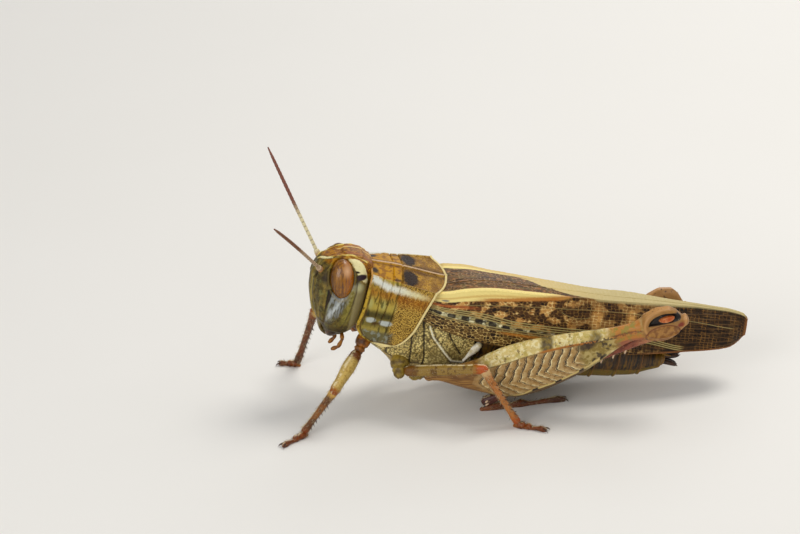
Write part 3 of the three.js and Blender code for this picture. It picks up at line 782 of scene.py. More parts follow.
def eye_finish():
    f = Finish("eye_lens", Coat_Weight=0.35, Coat_Roughness=0.12, Specular_IOR_Level=0.4)
    x, _, z = f.axes()
    streak = f.noise(1, 2, stretch=(7, 7, 0.7))
    fine = f.noise(1, 2, stretch=(22, 22, 1.6))
    colour = f.over(
        f.mix("6a4019", "a06f34", f.ramp(streak, 0.35, 0.62)),
        ("a5622c", f.ramp(x + z * 0.1, -0.2, 0.6) * 0.7),
        ("3c1f0c", f.ramp(fine, 0.5, 0.66) * 0.7),
        # painted highlight: a pale soft patch at the upper right of each eye
        ("e6bd98", f.near(f.length((x - 0.3) / 0.45, (z - 0.8) / 0.65), 0.5, 0.75) * 0.8),
        ("2c170b", f.near(f.length((x + 0.02) / 0.05, (z - 0.5) / 0.22), 0.8, 0.5) * 0.7),
        ("3a2410", f.ramp(x, -0.35, -0.85) * 0.6),
        ("4a2a12", f.ramp(z, -0.7, -1.55) * 0.5),
        ("553a20", f.ramp(z, 1.4, 1.6) * 0.6),
    )
    lenses = f.cells(26)
    return f.surface(colour, fine * 0.1 + 0.22, lenses, 0.006, richer=1.1)


def make_eyes(finish, simple_finish):
    for word, side in SIDES.items():
        dome = ellipsoid(EYE_RADII, steps(90), steps(140))
        form = Form()
        placed = dome @ EYE_TURN.T + EYE_CENTRE
        form.tube(from_body(placed * [1, side, 1]), spot=dome)
        piece(f"eye_{word}", form, finish, "eye_brown", f"eye_{word}")
    form = Form()
    for x, y, z in [(-10.02, 0.0, -2.13), (-9.28, 0.95, -0.1), (-9.28, -0.95, -0.1)]:
        bead = ellipsoid((0.1, 0.13, 0.13), steps(16), steps(20)) + [x - 0.06, y, z]
        form.tube(from_body(bead), spot=bead)
    piece("simple_eyes", form, simple_finish, "eye_brown")


simple_eye_finish = Finish("simple_eye_lens", Coat_Weight=0.8, Coat_Roughness=0.05)
lens_noise = simple_eye_finish.noise(6)
simple_eye_finish.surface(simple_eye_finish.mix("c9b98a", "e2d8b4", lens_noise), 0.2)
make_eyes(eye_finish(), simple_eye_finish)

# %% [markdown]
# ## Feelers
# A feeler has a thick root, a small collar, and a whip of some twenty-four joints. Each joint is a
# little waisted, which the eye reads at once, so the radius follows the joints rather than a smooth taper.
# The paths are the ones that the frame's solids follow.

# %% Feelers
FEELER_REACH = {"left": (-5.45, -5.6, 5.6), "right": (-5.45, 3.8, 7.3)}
FEELER_JOINTS = 24


def feeler_path(word, count):
    side = SIDES[word]
    root = FEELER_ROOT * [1, side, 1]
    tip = root + FEELER_REACH[word]
    middle = (root + tip) / 2 + [-0.35, 0, 0.45]
    return bent(root, middle, tip, count)


def feeler_finish(name, root_tone, middle_tone, tip_tone):
    f = Finish(name, Specular_IOR_Level=0.4)
    along, joint = f.read("along"), f.read("joint")
    colour = f.over(
        root_tone,
        (middle_tone, f.ramp(along, 0.8, 1.3)),
        (tip_tone, f.ramp(along + f.noise(1.5) * 1.2, 4.4, 6.2)),
        ("4a2a1a", f.near(joint, 0.1, 0.12) * 0.55),
    )
    return f.surface(colour, 0.45, f.noise(30), 0.01)


def make_feeler(word, finish):
    count = steps(360)
    path = feeler_path(word, count)
    t = np.linspace(0, 1, count)
    length = np.linalg.norm(np.diff(path, axis=0), axis=1).sum()
    root_swell = through((0, 0.28), (0.055, 0.3), (0.07, 0.2), (0.085, 0.23), (0.115, 0.22), (0.125, 0.14),
        (0.2, 0.135), (0.6, 0.14), (0.9, 0.115), (1, 0.06))
    joint = np.clip((t - 0.125) / 0.875, 0, 1) * FEELER_JOINTS
    from_joint = np.abs(joint - np.round(joint)) * (t > 0.125) + 0.5 * (t <= 0.125)
    size = root_swell(t) * (1 - 0.14 * ridge(from_joint, 0.14))
    points, along, _ = limb(path, (0.2, 0, 1), size, size, size, sides=steps(18), caps=3)
    joints = np.concatenate([[0.5] * 3, from_joint, [0.5] * 3])[:, None] + np.zeros(points.shape[1])
    form = Form()
    form.tube(from_body(points), spot=points, along=along, joint=joints)
    piece(f"antenna_{word}", form, finish, "orange_brown_cuticle", f"antenna_{word}")
    return length


feeler_length = make_feeler(
    "left", feeler_finish("feeler_near", "b5793f", "b3987a", "7a4c30"))
make_feeler("right", feeler_finish("feeler_far", "b5793f", "d9cda2", "7a4634"))
print("feeler:", round(feeler_length, 1), "mm")

# %% [markdown]
# ## Mouthparts
# Below the face hang the lip, a pair of dark horny jaws and two pairs of jointed palps. They are small,
# but they break up the underside of the head in every view. The jaws and lip are short limbs with a
# changed section, and each palp is a chain of swollen joints.


# %% Plain cuticle finish
def cuticle(name, pale, dark, scale=2.5, roughness=0.42, pores=12, relief=0.012):
    """A plain plate: two close tones in soft patches, fine pores and a satin skin."""
    f = Finish(name, Specular_IOR_Level=0.45)
    patches = f.patchy(scale, 0.38, 0.62)
    colour = f.mix(pale, dark, patches)
    rough = f.noise(16) * 0.14 + (roughness - 0.07)
    return f.surface(colour, rough, f.cells(pores) + f.noise(25), relief, richer=1.15)


horn_finish = cuticle("dark_horn", "4a3020", "23150d", 3.0, 0.3)
lip_finish = cuticle("lip_cuticle", "6f6238", "57431f", 2.5)
palp_finish = cuticle("palp_cuticle", "9a6a3a", "6f4526", 3.0)

# %% Lip, jaws and palps
count = steps(30)
t = np.linspace(0, 1, count)
form = Form()
path = bent((-8.95, 0, -4.7), (-8.95, 0, -5.4), (-8.3, 0, -5.85), count)
half = through((0, 0.98), (0.6, 0.92), (1, 0.6))(t) * (1 - 0.05 * ridge(t - 0.35, 0.05))
points, along, _ = limb(path, (-1, 0, -0.4), 0.2, 0.2, half, sides=steps(48), squareness=2.6)
notch = 0.12 * blend(along, 0.8, 1.2) * ridge(points[..., 1], 0.16)
form.tube(from_body(points + np.stack([0 * notch, 0 * notch, notch], -1)), spot=points)
piece("labrum", form, lip_finish, "pale_olive_cuticle", "labrum")

for word, side in SIDES.items():
    form = Form()
    path = bent((-7.75, 1.32 * side, -4.75), (-8.2, 1.35 * side, -5.4), (-8.05, 0.62 * side, -5.65), count)
    size = through((0, 0.5), (0.5, 0.45), (0.85, 0.3), (1, 0.16))(t)
    points, _, _ = limb(path, (1, 0, 0), size, size, size * 0.9, sides=steps(28))
    form.tube(from_body(points), spot=points)
    piece(f"mandible_{word}", form, horn_finish, "dark_horn", f"mandible_{word}")

    form = Form()
    for joints in (
        [(-7.25, 1.25, -5.15), (-7.15, 1.75, -5.6), (-7.35, 1.95, -6.15), (-7.75, 1.8, -6.5)],
        [(-7.7, 0.6, -5.45), (-7.6, 0.85, -5.95), (-7.9, 0.85, -6.4)],
    ):
        for start, end in zip(joints[:-1], joints[1:]):
            path = between(np.array(start) * [1, side, 1], np.array(end) * [1, side, 1], steps(14))
            size = through((0, 0.11), (0.8, 0.17), (1, 0.13))(np.linspace(0, 1, len(path)))
            points, _, _ = limb(path, (1, 0, 0), size, size, size, sides=steps(16), caps=3)
            form.tube(from_body(points), spot=points)
    piece(f"palp_{word}", form, palp_finish, "orange_brown_cuticle", f"palp_{word}")

# %% [markdown]
# ## The saddle
# The pronotum is a single plate bent over the front of the body like a saddle, with a low keel along its
# middle and one along each shoulder. Three grooves cross its front half, and its rear half is closely
# pitted. It could be cut from a tube, but then its rims would be ragged. Here the plate is a grid that
# runs from rim to rim: one direction goes from front to back, and the other from the middle keel, over
# the shoulder keel, down to the hem. So every rim is a true edge of the grid, and it can be rolled.

# %% Saddle outline
saddle_front = through((0, -6.06), (1, -6.05), (1.2, -6.13), (1.5, -6.27), (1.72, -6.46), (1.86, -6.1),
    (1.95, -5.2), (2, -4.3))
saddle_rear = through((0, 0.03), (0.3, -0.06), (0.55, -0.25), (0.8, -0.6), (1.05, -1.03), (1.3, -1.5),
    (1.5, -1.8), (1.65, -2.03), (1.81, -2.45), (1.93, -3.0), (2, -3.9))
shoulder_half = through((-6.06, 1.95), (-4.6, 2.02), (-2.9, 2.4), (-1.2, 2.72), (0, 2.85))
shoulder_height = through((-6.06, 0.12), (-3.5, 0.06), (-1.2, -0.04), (0, -0.15))
ridge_height = through((-6.06, 0.44), (-4.5, 0.44), (-2.6, 0.27), (0, 0.04))
flank_half = through((-6.5, 2.52), (-4.2, 2.7), (-2.6, 2.92), (0, 3.1))
HEM_HEIGHT = -5.32
SADDLE_THICKNESS = 0.13
GROOVES = [  # lines across the plate: (x, how far round from the middle keel)
    [(-5.05, 0.95), (-5.1, 1.25), (-5.2, 1.6)],
    [(-4.25, 0.25), (-4.3, 0.8), (-4.35, 1.2), (-4.75, 1.62), (-5.3, 1.66)],
    [(-3.5, 0.0), (-3.6, 0.8), (-3.82, 1.24), (-3.98, 1.54), (-4.15, 1.78)],
]


def saddle_surface(u, v, under):
    """u runs front to back, and v from hem to hem."""
    across = 4 * v - 2
    side, w = np.sign(across), np.abs(across)
    x = mixed(saddle_front(w), saddle_rear(w), u)
    disc = np.minimum(w, 1)
    lobe = np.clip(w - 1, 0, 1)
    shoulder, top, corner = shoulder_half(x), ridge_height(x), shoulder_height(x)
    flank = flank_half(x)
    bulge = np.sin(np.minimum(lobe / 0.55, 1) * math.pi / 2)
    half = np.where(w < 1, shoulder * disc, mixed(shoulder, flank, bulge))
    half = half - 0.3 * np.maximum(lobe - 0.62, 0) ** 1.5
    height = np.where(w < 1, mixed(top, corner, disc**1.8), mixed(corner, HEM_HEIGHT, lobe**0.95))
    height = height + 0.09 * side * half * blend(x, -6.0, -4.8) * blend(w, 1.9, 1.2)  # it leans a little
    points = np.stack([x, side * half, height], -1)
    length = saddle_rear(w) - saddle_front(w)
    to_front, to_rear = u * length, (1 - u) * length
    to_hem = (2 - w) * 4.6
    groove = np.min([line_distance(np.stack([x, w], -1), line) for line in GROOVES], axis=0)
    keel = ridge(across, 0.035) * 0.13
    shoulder_keel = ridge(w - 1, 0.045) * 0.1
    collar = ridge(to_front - 0.13, 0.1) * 0.1 * blend(w, 0.9, 1.2)
    hind_rim = ridge(np.minimum(to_rear, to_hem) - 0.07, 0.06) * 0.08
    front_roll = ridge(to_front - 0.05, 0.06) * 0.05
    swell = sum(0.1 * ridge(np.hypot((x - at) / long, (w - 1.45) / 0.2), 1)
                for at, long in ((-4.8, 0.5), (-5.65, 0.35)))
    height = keel + shoulder_keel + collar + hind_rim + front_roll + swell - 0.09 * ridge(groove, 0.045)
    points = lifted(points, np.full(u.shape, -SADDLE_THICKNESS) if under else height)
    fields = dict(spot=np.stack([x, side * half, points[..., 2]], -1), w=w, groove=groove, front=to_front,
                  rear=np.minimum(to_rear, to_hem * 0.8))
    return from_body(points), fields


# %% [markdown]
# ### Saddle colours
# The flat top is gold-brown with two pairs of velvety dark spots beside the middle keel. A cream band
# runs just below each shoulder keel and fades towards the rear, with an orange-brown edge under it. The
# flanks are olive yellow with dark grooves and two small bluish-white patches near the hem, and the rear
# half is stippled with gold between dark pits.


# %% Saddle finish
def saddle_finish():
    f = Finish("saddle_cuticle", Specular_IOR_Level=0.2)
    x, y, z = f.axes()
    a = abs(y)
    w, groove, front, rear = f.reads("w groove front rear")
    fine = (f.noise(7) - 0.5) * 0.25
    pits = f.cells(8.5)
    hind = f.ramp(x + w * 0.32 + fine, -3.55, -3.3)
    disc = f.ramp(w, 1.02, 0.94)
    band_half = f.ramp(x, -1, -5) * 0.012 + 0.03
    ragged = (f.noise(1.8, 4, stretch=(3, 3, 0.6)) - 0.5) * 0.09
    band_path = f.ramp(x, -5.9, -4.4) * 0.05 + 1.03 - f.ramp(y, -1, 1) * 0.07
    band = f.near(abs(w - band_path + ragged), band_half, 0.03)
    cream = band * f.ramp(x + fine * 2, -0.9, -2.6)
    cream_tail = band * f.ramp(x + fine, -0.1, -0.8) * 0.5
    under_band = f.near(abs(w - 1.18 + fine * 0.15), 0.05, 0.13)
    rough_edge = (f.noise(3.2, 4) - 0.5) * 0.9
    big_spot = f.blob((x + 2.95) / 0.66, (a - 1.35) / 1.1, rough_edge * 0.8, 0.9, 0.2)
    small_spot = f.blob(x + 5.75, (a - 1.25) * 0.8, rough_edge * 0.3, 0.28, 0.14)
    keel_shade = f.near(abs(a - 0.42 + rough_edge * 0.3), 0.16, 0.25) * f.ramp(x, -2.9, -2.3)
    band_teeth = f.blob((x + 3.95) * 0.8, (a - 1.85) * 2, fine, 0.26, 0.12)
    patch_rear = f.blob((x + 4.35) / 0.6, (z + 3.35) / 0.28, rough_edge * 0.5, 0.8, 0.25)
    patch_front = f.blob((x + 5.5) / 0.45, (z + 3.25) / 0.28, rough_edge * 0.5, 0.8, 0.25)
    green_rings = f.blob((x + 4.75).pingpong(0.5) / 0.3, (z + 1.9) / 0.6, rough_edge * 0.5, 0.6, 0.4)
    green_rings = green_rings * f.ramp(x, -3.6, -4)
    low = f.ramp(z + fine, -3.9, -4.3) * f.ramp(x + fine, -3.3, -3.9)
    dark_low = f.near(abs(z + 2.78 + fine), 0.34, 0.26) * f.ramp(x, -3.6, -4)
    flank = f.mix("c0a858", "948846", f.noise(1.8))
    dots = f.cells(13)
    stipple = f.mix(f.mix("dcb868", "b89048", f.noise(1.2)), "5a3c18", f.ramp(dots, 0.42, 0.64))
    colour = f.over(
        flank,
        ("bd8a2c", disc),
        ("80521f", disc * f.patchy(2.6, 0.44, 0.6) * 0.8),
        ("46260f", disc * f.near(abs(a - 0.26 + fine), 0.1, 0.2) * 0.8),
        (stipple, hind * (0.9 - disc * 0.35)),
        ("6f4a1e", disc * hind * f.patchy(1.1, 0.42, 0.6) * 0.6),
        ("a5642a", under_band * 0.85),
        ("5e3414", under_band * f.patchy(1.6, 0.5, 0.62, stretch=(3, 3, 0.8)) * 0.8),
        ("a8a468", green_rings * (1 - disc) * (1 - under_band) * 0.75),
        ("3c3a12", f.patchy(1.6, 0.5, 0.62, 4, stretch=(2.6, 2.6, 0.9)) * (1 - disc) * (1 - hind) * 0.75),
        ("241e08", dark_low * 0.85),
        ("4a4838", low * 0.8),
        ("8d9184", low * f.patchy(2.6, 0.5, 0.62) * 0.7),
        ("3a3014", (1 - hind) * (1 - disc) * f.near(abs(z + 3.55 + fine), 0.35, 0.3) * 0.6),
        ("b4b9b2", patch_rear),
        ("b4b9b2", patch_front),
        ("c79a4e", cream_tail),
        (f.mix("dfe0d4", "e6dba8", f.ramp(x, -4.5, -2)), cream),
        ("8d7a5c", cream * f.patchy(2, 0.58, 0.68, stretch=(3, 3, 0.8)) * 0.5),
        ("4a2a12", keel_shade * 0.7),
        ("1e0d07", big_spot.most(small_spot).most(band_teeth * 0.8) * disc * 0.97),
        ("4a3014", f.near(groove + fine * 0.08, 0.022, 0.03) * (f.ramp(w, 1.12, 1.3) * 0.6 + 0.25)),
        ("dcc0a0", f.near(a + fine * 0.1, 0.055, 0.04)),
        ("c0a04a", f.near(front + fine * 0.2, 0.2, 0.05) * f.ramp(w, 1.1, 1.22)),
        ("4a3012", f.near(front + fine * 0.2, 0.2, 0.05) * f.patchy(4.5, 0.54, 0.62) * 0.85),
        ("5b3b1a", f.near(abs(front - 0.3), 0.03, 0.05) * f.ramp(w, 1.1, 1.25)),
        ("f0dda2", f.near(rear, 0.17, 0.03)),
        ("5b3f1e", f.near(abs(rear - 0.22), 0.03, 0.05) * 0.7),
        ("c2965c", f.near(front, 0.1, 0.04) * f.ramp(w, 1.2, 1.05)),
    )
    relief = (f.ramp(pits, 0.6, 0.2) - 0.5) * hind + f.noise(20) * 0.25
    rough = f.noise(14) * 0.16 + 0.42
    return f.surface(colour, rough, relief, 0.03, richer=1.08)


form = Form()
form.plate(saddle_surface, steps(210), steps(330), coarse=(24, 40))
piece("pronotum", form, saddle_finish(), "gold_brown_cuticle", "pronotum")

# %% [markdown]
# ## Wings
# At rest the narrow fore wings fold over the back like a roof: a flat strip on top, a sharp fold, and an
# upright side. They are thin leather stiffened by lengthwise veins, with a net of small cells between.
# The veins could be separate wires, but then they would float or sink, so they are raised out of one
# sheet. Places on it are given by x along the body and q across: -1 to 0 from the seam to the fold,
# and 0 to 1 from the fold down to the hem.

# %% Wing outline
WING_BASE, WING_TIP, SEAM = -1.6, 23.8, 0.36
WING_THICKNESS = 0.055
keel_half = through((-1.6, 2.25), (0, 2.38), (4, 2.08), (8.5, 1.65), (11, 1.2), (13.5, 0.95), (15, 0.82),
    (16.5, 0.58), (18, 0.43), (20, 0.28), (23.8, 0.2))
keel_height = through((-1.6, -0.1), (0, 0.0), (4, 0.42), (8.5, 0.46), (12, 0.47), (15, 0.57), (18, 0.63),
    (20, 0.68), (22, 0.67), (22.8, 0.6), (23.4, 0.48), (23.8, 0.22))
wing_crown = through((-1.6, 0.12), (4, 0.16), (8.5, 0.14), (13.5, 0.06), (23.8, 0.03))
hem_half = through((-1.6, 2.85), (0, 2.98), (4.7, 2.88), (9, 2.8), (14, 2.6), (19.5, 2.1), (22.5, 1.45),
    (23.8, 0.62))
hem_height = through((-1.6, -2.7), (0, -3.15), (4.7, -3.78), (9, -3.68), (14, -3.2), (19.5, -2.3),
    (22.3, -1.85), (23.3, -1.45), (23.8, -0.95))
wing_sunk = {
    -1: through((-1.6, 0.45), (0, 0.3), (1.2, 0.08), (2.5, 0)),
    1: through((-1.6, 0.45), (-0.9, 0.34), (0.2, 0.0), (1.2, 0.0), (3.8, 0.28), (7, 0.3), (12.5, 0.1),
        (14, 0)),
}


def wing_place(side, x, q):
    keel_y, keel_z = side * keel_half(x), keel_height(x)
    back, down = 1 + np.minimum(q, 0), np.maximum(q, 0)
    bow = 0.22 * side * np.sin(math.pi * down) * np.minimum(1, (keel_z - hem_height(x)) / 3)
    on_roof, on_side = mixed(-SEAM * keel_half(x), keel_y, back), mixed(keel_y, side * hem_half(x), down)
    y = np.where(q < 0, on_roof, on_side + bow)
    roof = keel_z + wing_crown(x) * (1 - back**2)
    z = np.where(q < 0, roof, mixed(keel_z, hem_height(x), down))
    sunk = wing_sunk[side](x) if side < 0 else mixed(wing_sunk[-1](x), wing_sunk[1](x), back)
    tuck = 0.14 * blend(q, -1.0, -1.12) if side < 0 else 0
    y = y - side * sunk * np.clip(q * 4, 0, 1) * 0.8
    return np.stack([x, y, z - sunk * np.clip(1 - q, 0.2, 1) - tuck], -1)


# %% [markdown]
# ### Veins and cells
# Each main vein is a curve of q against x with a start, an end and a width. The net between them is
# cellular: every cell has a seeded centre, and a point's distance from the border between its two
# nearest centres says whether it is on a cross vein. Towards the tip the cells line up in rows.

# %% Vein maps
radius_vein = through((-1.6, 0.43), (2.7, 0.47), (5.85, 0.555), (9, 0.575), (12.2, 0.6), (16, 0.72),
    (19.5, 0.93))
second_vein = through((-1.6, 0.62), (4, 0.67), (9.2, 0.715), (12, 0.83), (14.5, 0.99))
upper_vein = through((1, 0.29), (4, 0.25), (8, 0.2), (12, 0.19), (16, 0.23), (20, 0.33), (23.5, 0.45))
arc_vein = through((8.2, 0.16), (9.3, 0.3), (10.3, 0.35), (11.4, 0.31), (12.6, 0.2))
side_veins = [(radius_vein, shift, -1.6, 19.5, 0.045, 1.0) for shift in (-0.042, 0.0, 0.042)]
side_veins += [(second_vein, shift, -1.6, 14.5, 0.04, 0.8) for shift in (-0.02, 0.022)]
side_veins += [(upper_vein, 0.0, 1.0, 23.5, 0.035, 0.7), (arc_vein, 0.0, 8.2, 12.6, 0.03, 0.75)]
side_veins += [(second_vein, shift, -1.6, 6.0, 0.03, 0.3) for shift in (0.08, 0.16, 0.25)]
for k in range(8):
    fan_vein = through((12 + 0.35 * k, 0.27 + 0.075 * k), (17, 0.2 + 0.095 * k), (23.6, 0.1 + 0.115 * k))
    side_veins.append((fan_vein, 0.0, 12.5 + 0.35 * k, 23.7, 0.03, 0.3))
back_veins = [(through((0, -0.12 * k), (12, -0.12 * k)), 0.0, -1.6, 23, 0.028, 0.2) for k in range(1, 9)]
near_low = through((-1.6, 0.27), (1.6, 0.215), (4, 0.18), (7, 0.1), (10.2, 0.05))
near_high = through((-1.6, -0.22), (1.6, -0.29), (7, -0.3), (8.6, -0.24), (10, -0.12))
left_pale = through((7.3, -1.3), (8.6, -0.65), (10.2, -0.2), (11.8, 0.05), (16, 0.055), (23, 0.03))
right_pale = through((0, -0.15), (4.4, -0.24), (6.4, -0.5), (7.8, -1.05))


def cellular(u, v, jitter, seed):
    """Distance from the nearest cell border, in cells, and a number from 0 to 1 for each cell."""
    table = np.random.default_rng(seed).random((64, 64, 3))
    column, row = np.floor(u).astype(int), np.floor(v).astype(int)
    first = np.full(u.shape, 9.0)
    second, label = first.copy(), np.zeros(u.shape)
    for i in (-1, 0, 1):
        for j in (-1, 0, 1):
            seeds = table[(column + i) % 64, (row + j) % 64]
            du = column + i + 0.5 + (seeds[..., 0] - 0.5) * jitter - u
            dv = row + j + 0.5 + (seeds[..., 1] - 0.5) * jitter - v
            gap = np.hypot(du, dv)
            nearer = gap < first
            second = np.where(nearer, first, np.minimum(second, gap))
            label = np.where(nearer, seeds[..., 2], label)
            first = np.where(nearer, gap, first)
    return (second - first) / 2, label


def wing_surface(side):
    lowest = -1.32 if side < 0 else -1.0

    def surface(u, v, under):
        x = mixed(WING_BASE, WING_TIP, 1 - (1 - u) ** 1.25)
        q = np.where(v < 0.36, mixed(lowest, 0.0, v / 0.36), (v - 0.36) / 0.64)
        back_width = (1 + SEAM * side) * keel_half(x)
        side_width = np.hypot(hem_half(x) - keel_half(x), keel_height(x) - hem_height(x))
        width = np.where(q < 0, back_width, side_width)
        across = q * width
        regular = blend(x, 8, 12)
        edge, shade = cellular(x / 0.32, across / mixed(0.25, 0.2, regular), 0.85 - 0.55 * regular, 7 + side)
        net = ridge(edge, 0.12)
        vein, pale = np.zeros(x.shape), np.zeros(x.shape)
        for group, on in ((side_veins, q > 0), (back_veins, q < 0)):
            for curve, shift, start, end, thick, paleness in group:
                gap = (q - curve(x) - shift) * width
                height = ridge(gap, thick) * blend(x, start, start + 0.8) * blend(x, end, end - 1.2) * on
                vein = np.maximum(vein, height * thick / 0.045)
                pale = np.maximum(pale, height * paleness)
        seam_margin = ridge(q + 0.985, 0.02) if side > 0 else 0.0 * q
        height = 0.04 * vein + 0.018 * net * (1 - vein) + 0.045 * ridge((q + 0.01) * width, 0.07)
        height = height + 0.05 * seam_margin
        fold = np.minimum(q - near_high(x), near_low(x) - q) * blend(x, 10.0, 8.4)
        cream = left_pale(x) - q if side < 0 else np.minimum(q - right_pale(x), 0.06 - q)
        red = ridge((q - near_high(x)) * width, 0.05) * blend(x, 1, 2) * blend(x, 8, 6)
        spots = ridge((x % 1.08) - 0.5, 0.34) * ridge(q - radius_vein(x) - 0.11, 0.075) * blend(x, 9.6, 8.4)
        points = wing_place(side, x, q)
        outward = normals(points)
        outward = outward if outward[..., 2].sum() > 0 else -outward
        points = points - outward * WING_THICKNESS if under else points + outward * height[..., None]
        tip = np.minimum((1 - u) * 6, (1 - q) * side_width)
        fields = dict(spot=np.stack([x, across, 0 * x], -1), q=q, net=net, shade=shade, vein=vein, pale=pale,
                      fold=fold, cream=cream, red=red, spots=spots, edge=tip, rank=q - radius_vein(x),
                      low=q - second_vein(x))
        return from_body(points), fields

    return surface


# %% [markdown]
# ### Wing colours
# The fold carries a yellow stripe that fades to orange-brown, and further back the two folds and the
# seam make one cream ridge. Under the stripe the cells are ochre between dark blotches, then come three
# pale olive veins, and below them khaki cells with a row of small dark squares. The rear half is dark
# with ochre patches, and the tip is smoky with an orange-brown rim.


# %% Wing finish
def wing_finish(name):
    f = Finish(name, Specular_IOR_Level=0.2)
    x, across, _ = f.axes()
    q, net, shade, pale, rank, low = f.reads("q net shade pale rank low")
    net = f.ramp(net, 0.35, 0.9)
    fine = (f.noise(6) - 0.5) * 0.3
    side = f.ramp(q, -0.01, 0.01)
    wander = (f.noise(0.9, 2) - 0.5) * 1.2
    rear = f.ramp(x + wander, 9, 10.5)
    patch = f.patchy(0.95, 0.52, 0.42, 2, stretch=(1, 1.5, 1))
    blotches = [(2.45, 1, 0.55, 0.3), (4.8, 1.3, 0.45, 0.45), (7, 1.1, 0.3, 0.6), (8, 2.1, 0.5, 0.4)]
    dark_spot = None
    for at, down, long, tall in blotches:
        one = f.near(f.length((x - at) / long, (across - down) / tall) + fine, 0.8, 0.35)
        dark_spot = one if dark_spot is None else dark_spot.most(one)
    lit = f.blob((x - 11.8) / 0.6, (across - 1.3) / 1.2, fine, 0.8, 0.4)
    lit = lit.most(f.blob((x - 14.5) / 0.5, (across - 1.1) / 0.7, fine, 0.8, 0.4))
    ochre = (patch * (1 - rear * 0.5)).most(lit) * (1 - dark_spot)
    tip = f.ramp(x + wander, 14.5, 17.5)
    membrane = f.mix(f.mix("22130a", "4c3016", shade), f.mix("96642e", "cf9c58", shade), ochre)
    dim = f.patchy(2.2, 0.4, 0.6)
    thread = f.mix(f.mix("5c4022", "8f6b34", dim), f.mix("cf9d4c", "f0d48e", dim), ochre)
    khaki = f.ramp(rank + fine * 0.05, 0.05, 0.075) * f.ramp(x + wander, 9.5, 7)
    khaki = khaki * side * f.ramp(low, 0, -0.015)
    low_strip = f.near(abs(low - 0.06), 0.025, 0.03) * f.ramp(x, 4, 5.2) * f.ramp(x, 11, 9)
    low_net = f.ramp(low, 0, 0.02) * f.ramp(x + wander, 9.5, 8)
    root_strip = f.near(abs(q - 0.33 + fine * 0.06), 0.03, 0.03) * f.ramp(x + fine * 2, 3.2, 1.2)
    back_lines = f.patchy(1, 0.38, 0.62, stretch=(0.5, 9, 1))
    back_tone = f.mix("2c1c0e", "74522e", back_lines)
    back_mottle = f.patchy(1.6, 0.54, 0.64, stretch=(1, 1.8, 1))
    weave = f.ramp(net, 0.25, 0.8) * f.patchy(1.3, 0.4, 0.55, 2)
    colour = f.over(
        f.mix(membrane, thread, net * 0.85),
        (f.mix("a09462", "e6e0b4", f.ramp(shade, 0.3, 0.75)), khaki * 0.95),
        ("4a3b20", khaki * net * 0.75),
        ("1f1812", khaki * f.patchy(1.5, 0.56, 0.62, 2, stretch=(1, 1.6, 1)) * 0.85),
        (f.mix("2b1c0e", "6b5026", f.ramp(shade, 0.2, 0.8)), low_net),
        (f.mix("8f7440", "dcbc72", dim), low_net * f.ramp(net, 0.3, 0.8) * 0.9),
        ("c07a2a", low_strip * 0.8),
        (f.mix("8a3d1c", "bd6a30", f.patchy(1.5, 0.4, 0.6, stretch=(1, 6, 1))), root_strip * 0.9),
        ("1c1512", f.ramp(f.read("spots") + fine * 0.8, 0.3, 0.5) * khaki * 0.9),
        (f.mix("140a04", "33200c", shade), tip * 0.88),
        ("96692f", tip * net * f.patchy(1.5, 0.4, 0.6) * 0.6),
        ("160c06", tip * f.patchy(0.8, 0.5, 0.6, stretch=(1, 1.6, 1)) * 0.7),
        (back_tone, 1 - side),
        ("a8713a", (1 - side) * back_mottle * 0.8),
        ("5d5a2c", (1 - side) * f.patchy(1.1, 0.54, 0.62) * 0.5),
        ("b08a52", (1 - side) * weave * 0.6),
        ("7a5730", f.read("vein") * 0.75),
        ("a79a60", f.ramp(pale, 0.35, 0.75)),
        (f.mix("f2dd8c", "b98140", f.ramp(x + wander * 0.6 + q * 4, 6.8, 9.2)),
         f.ramp(f.read("fold") + fine * 0.05, 0, 0.03)),
        ("c89a48", f.near(abs(q - 0.13 + x * 0.012), 0.015, 0.03) * f.ramp(f.read("fold"), 0, 0.03) * 0.8),
        ("b5702a", f.near(abs(f.read("fold") - 0.03 + fine * 0.1), 0.03, 0.02) * side
         * f.ramp(x + wander, 1.5, 3.5) * f.ramp(x, 9.2, 8.2)
         * 0.9),
        ("8e5a33", f.near(abs(q + 0.06), 0.012, 0.012) * f.patchy(1, 0.47, 0.52, stretch=(5, 0.2, 1))
         * f.ramp(x, 8.5, 7.5)),
        ("8b8577", f.blob((x + 0.15) / 0.35, (q - 0.19) / 0.035, fine, 0.8, 0.3)),
        (f.mix("dcc078", "c3b27c", f.ramp(x, 4, 14)), f.ramp(f.read("cream") + fine * 0.05, 0, 0.05)),
        ("7d3a22", f.read("red") * 0.9),
        ("8d5b30", f.near(f.read("edge"), 0.1, 0.12) * f.ramp(x, 14, 18)),
        ("5e431f", f.near(f.read("edge"), 0.07, 0.05) * f.ramp(x, 12, 9)),
    )
    rough = 0.5 - net * 0.14
    return f.surface(colour, rough, f.noise(24), 0.006)


for word, side in SIDES.items():
    form = Form()
    form.plate(wing_surface(side), steps(430), steps(176), coarse=(60, 22))
    piece(f"tegmen_{word}", form, wing_finish(f"wing_leather_{word}"), "wing_brown", f"tegmen_{word}")

# %% [markdown]
# ### Hind wings
# The hind wings lie under the fore wings, folded like a fan. Only their edges could ever be seen, so each
# is one pleated sheet: smoky, with a darker line along every pleat.

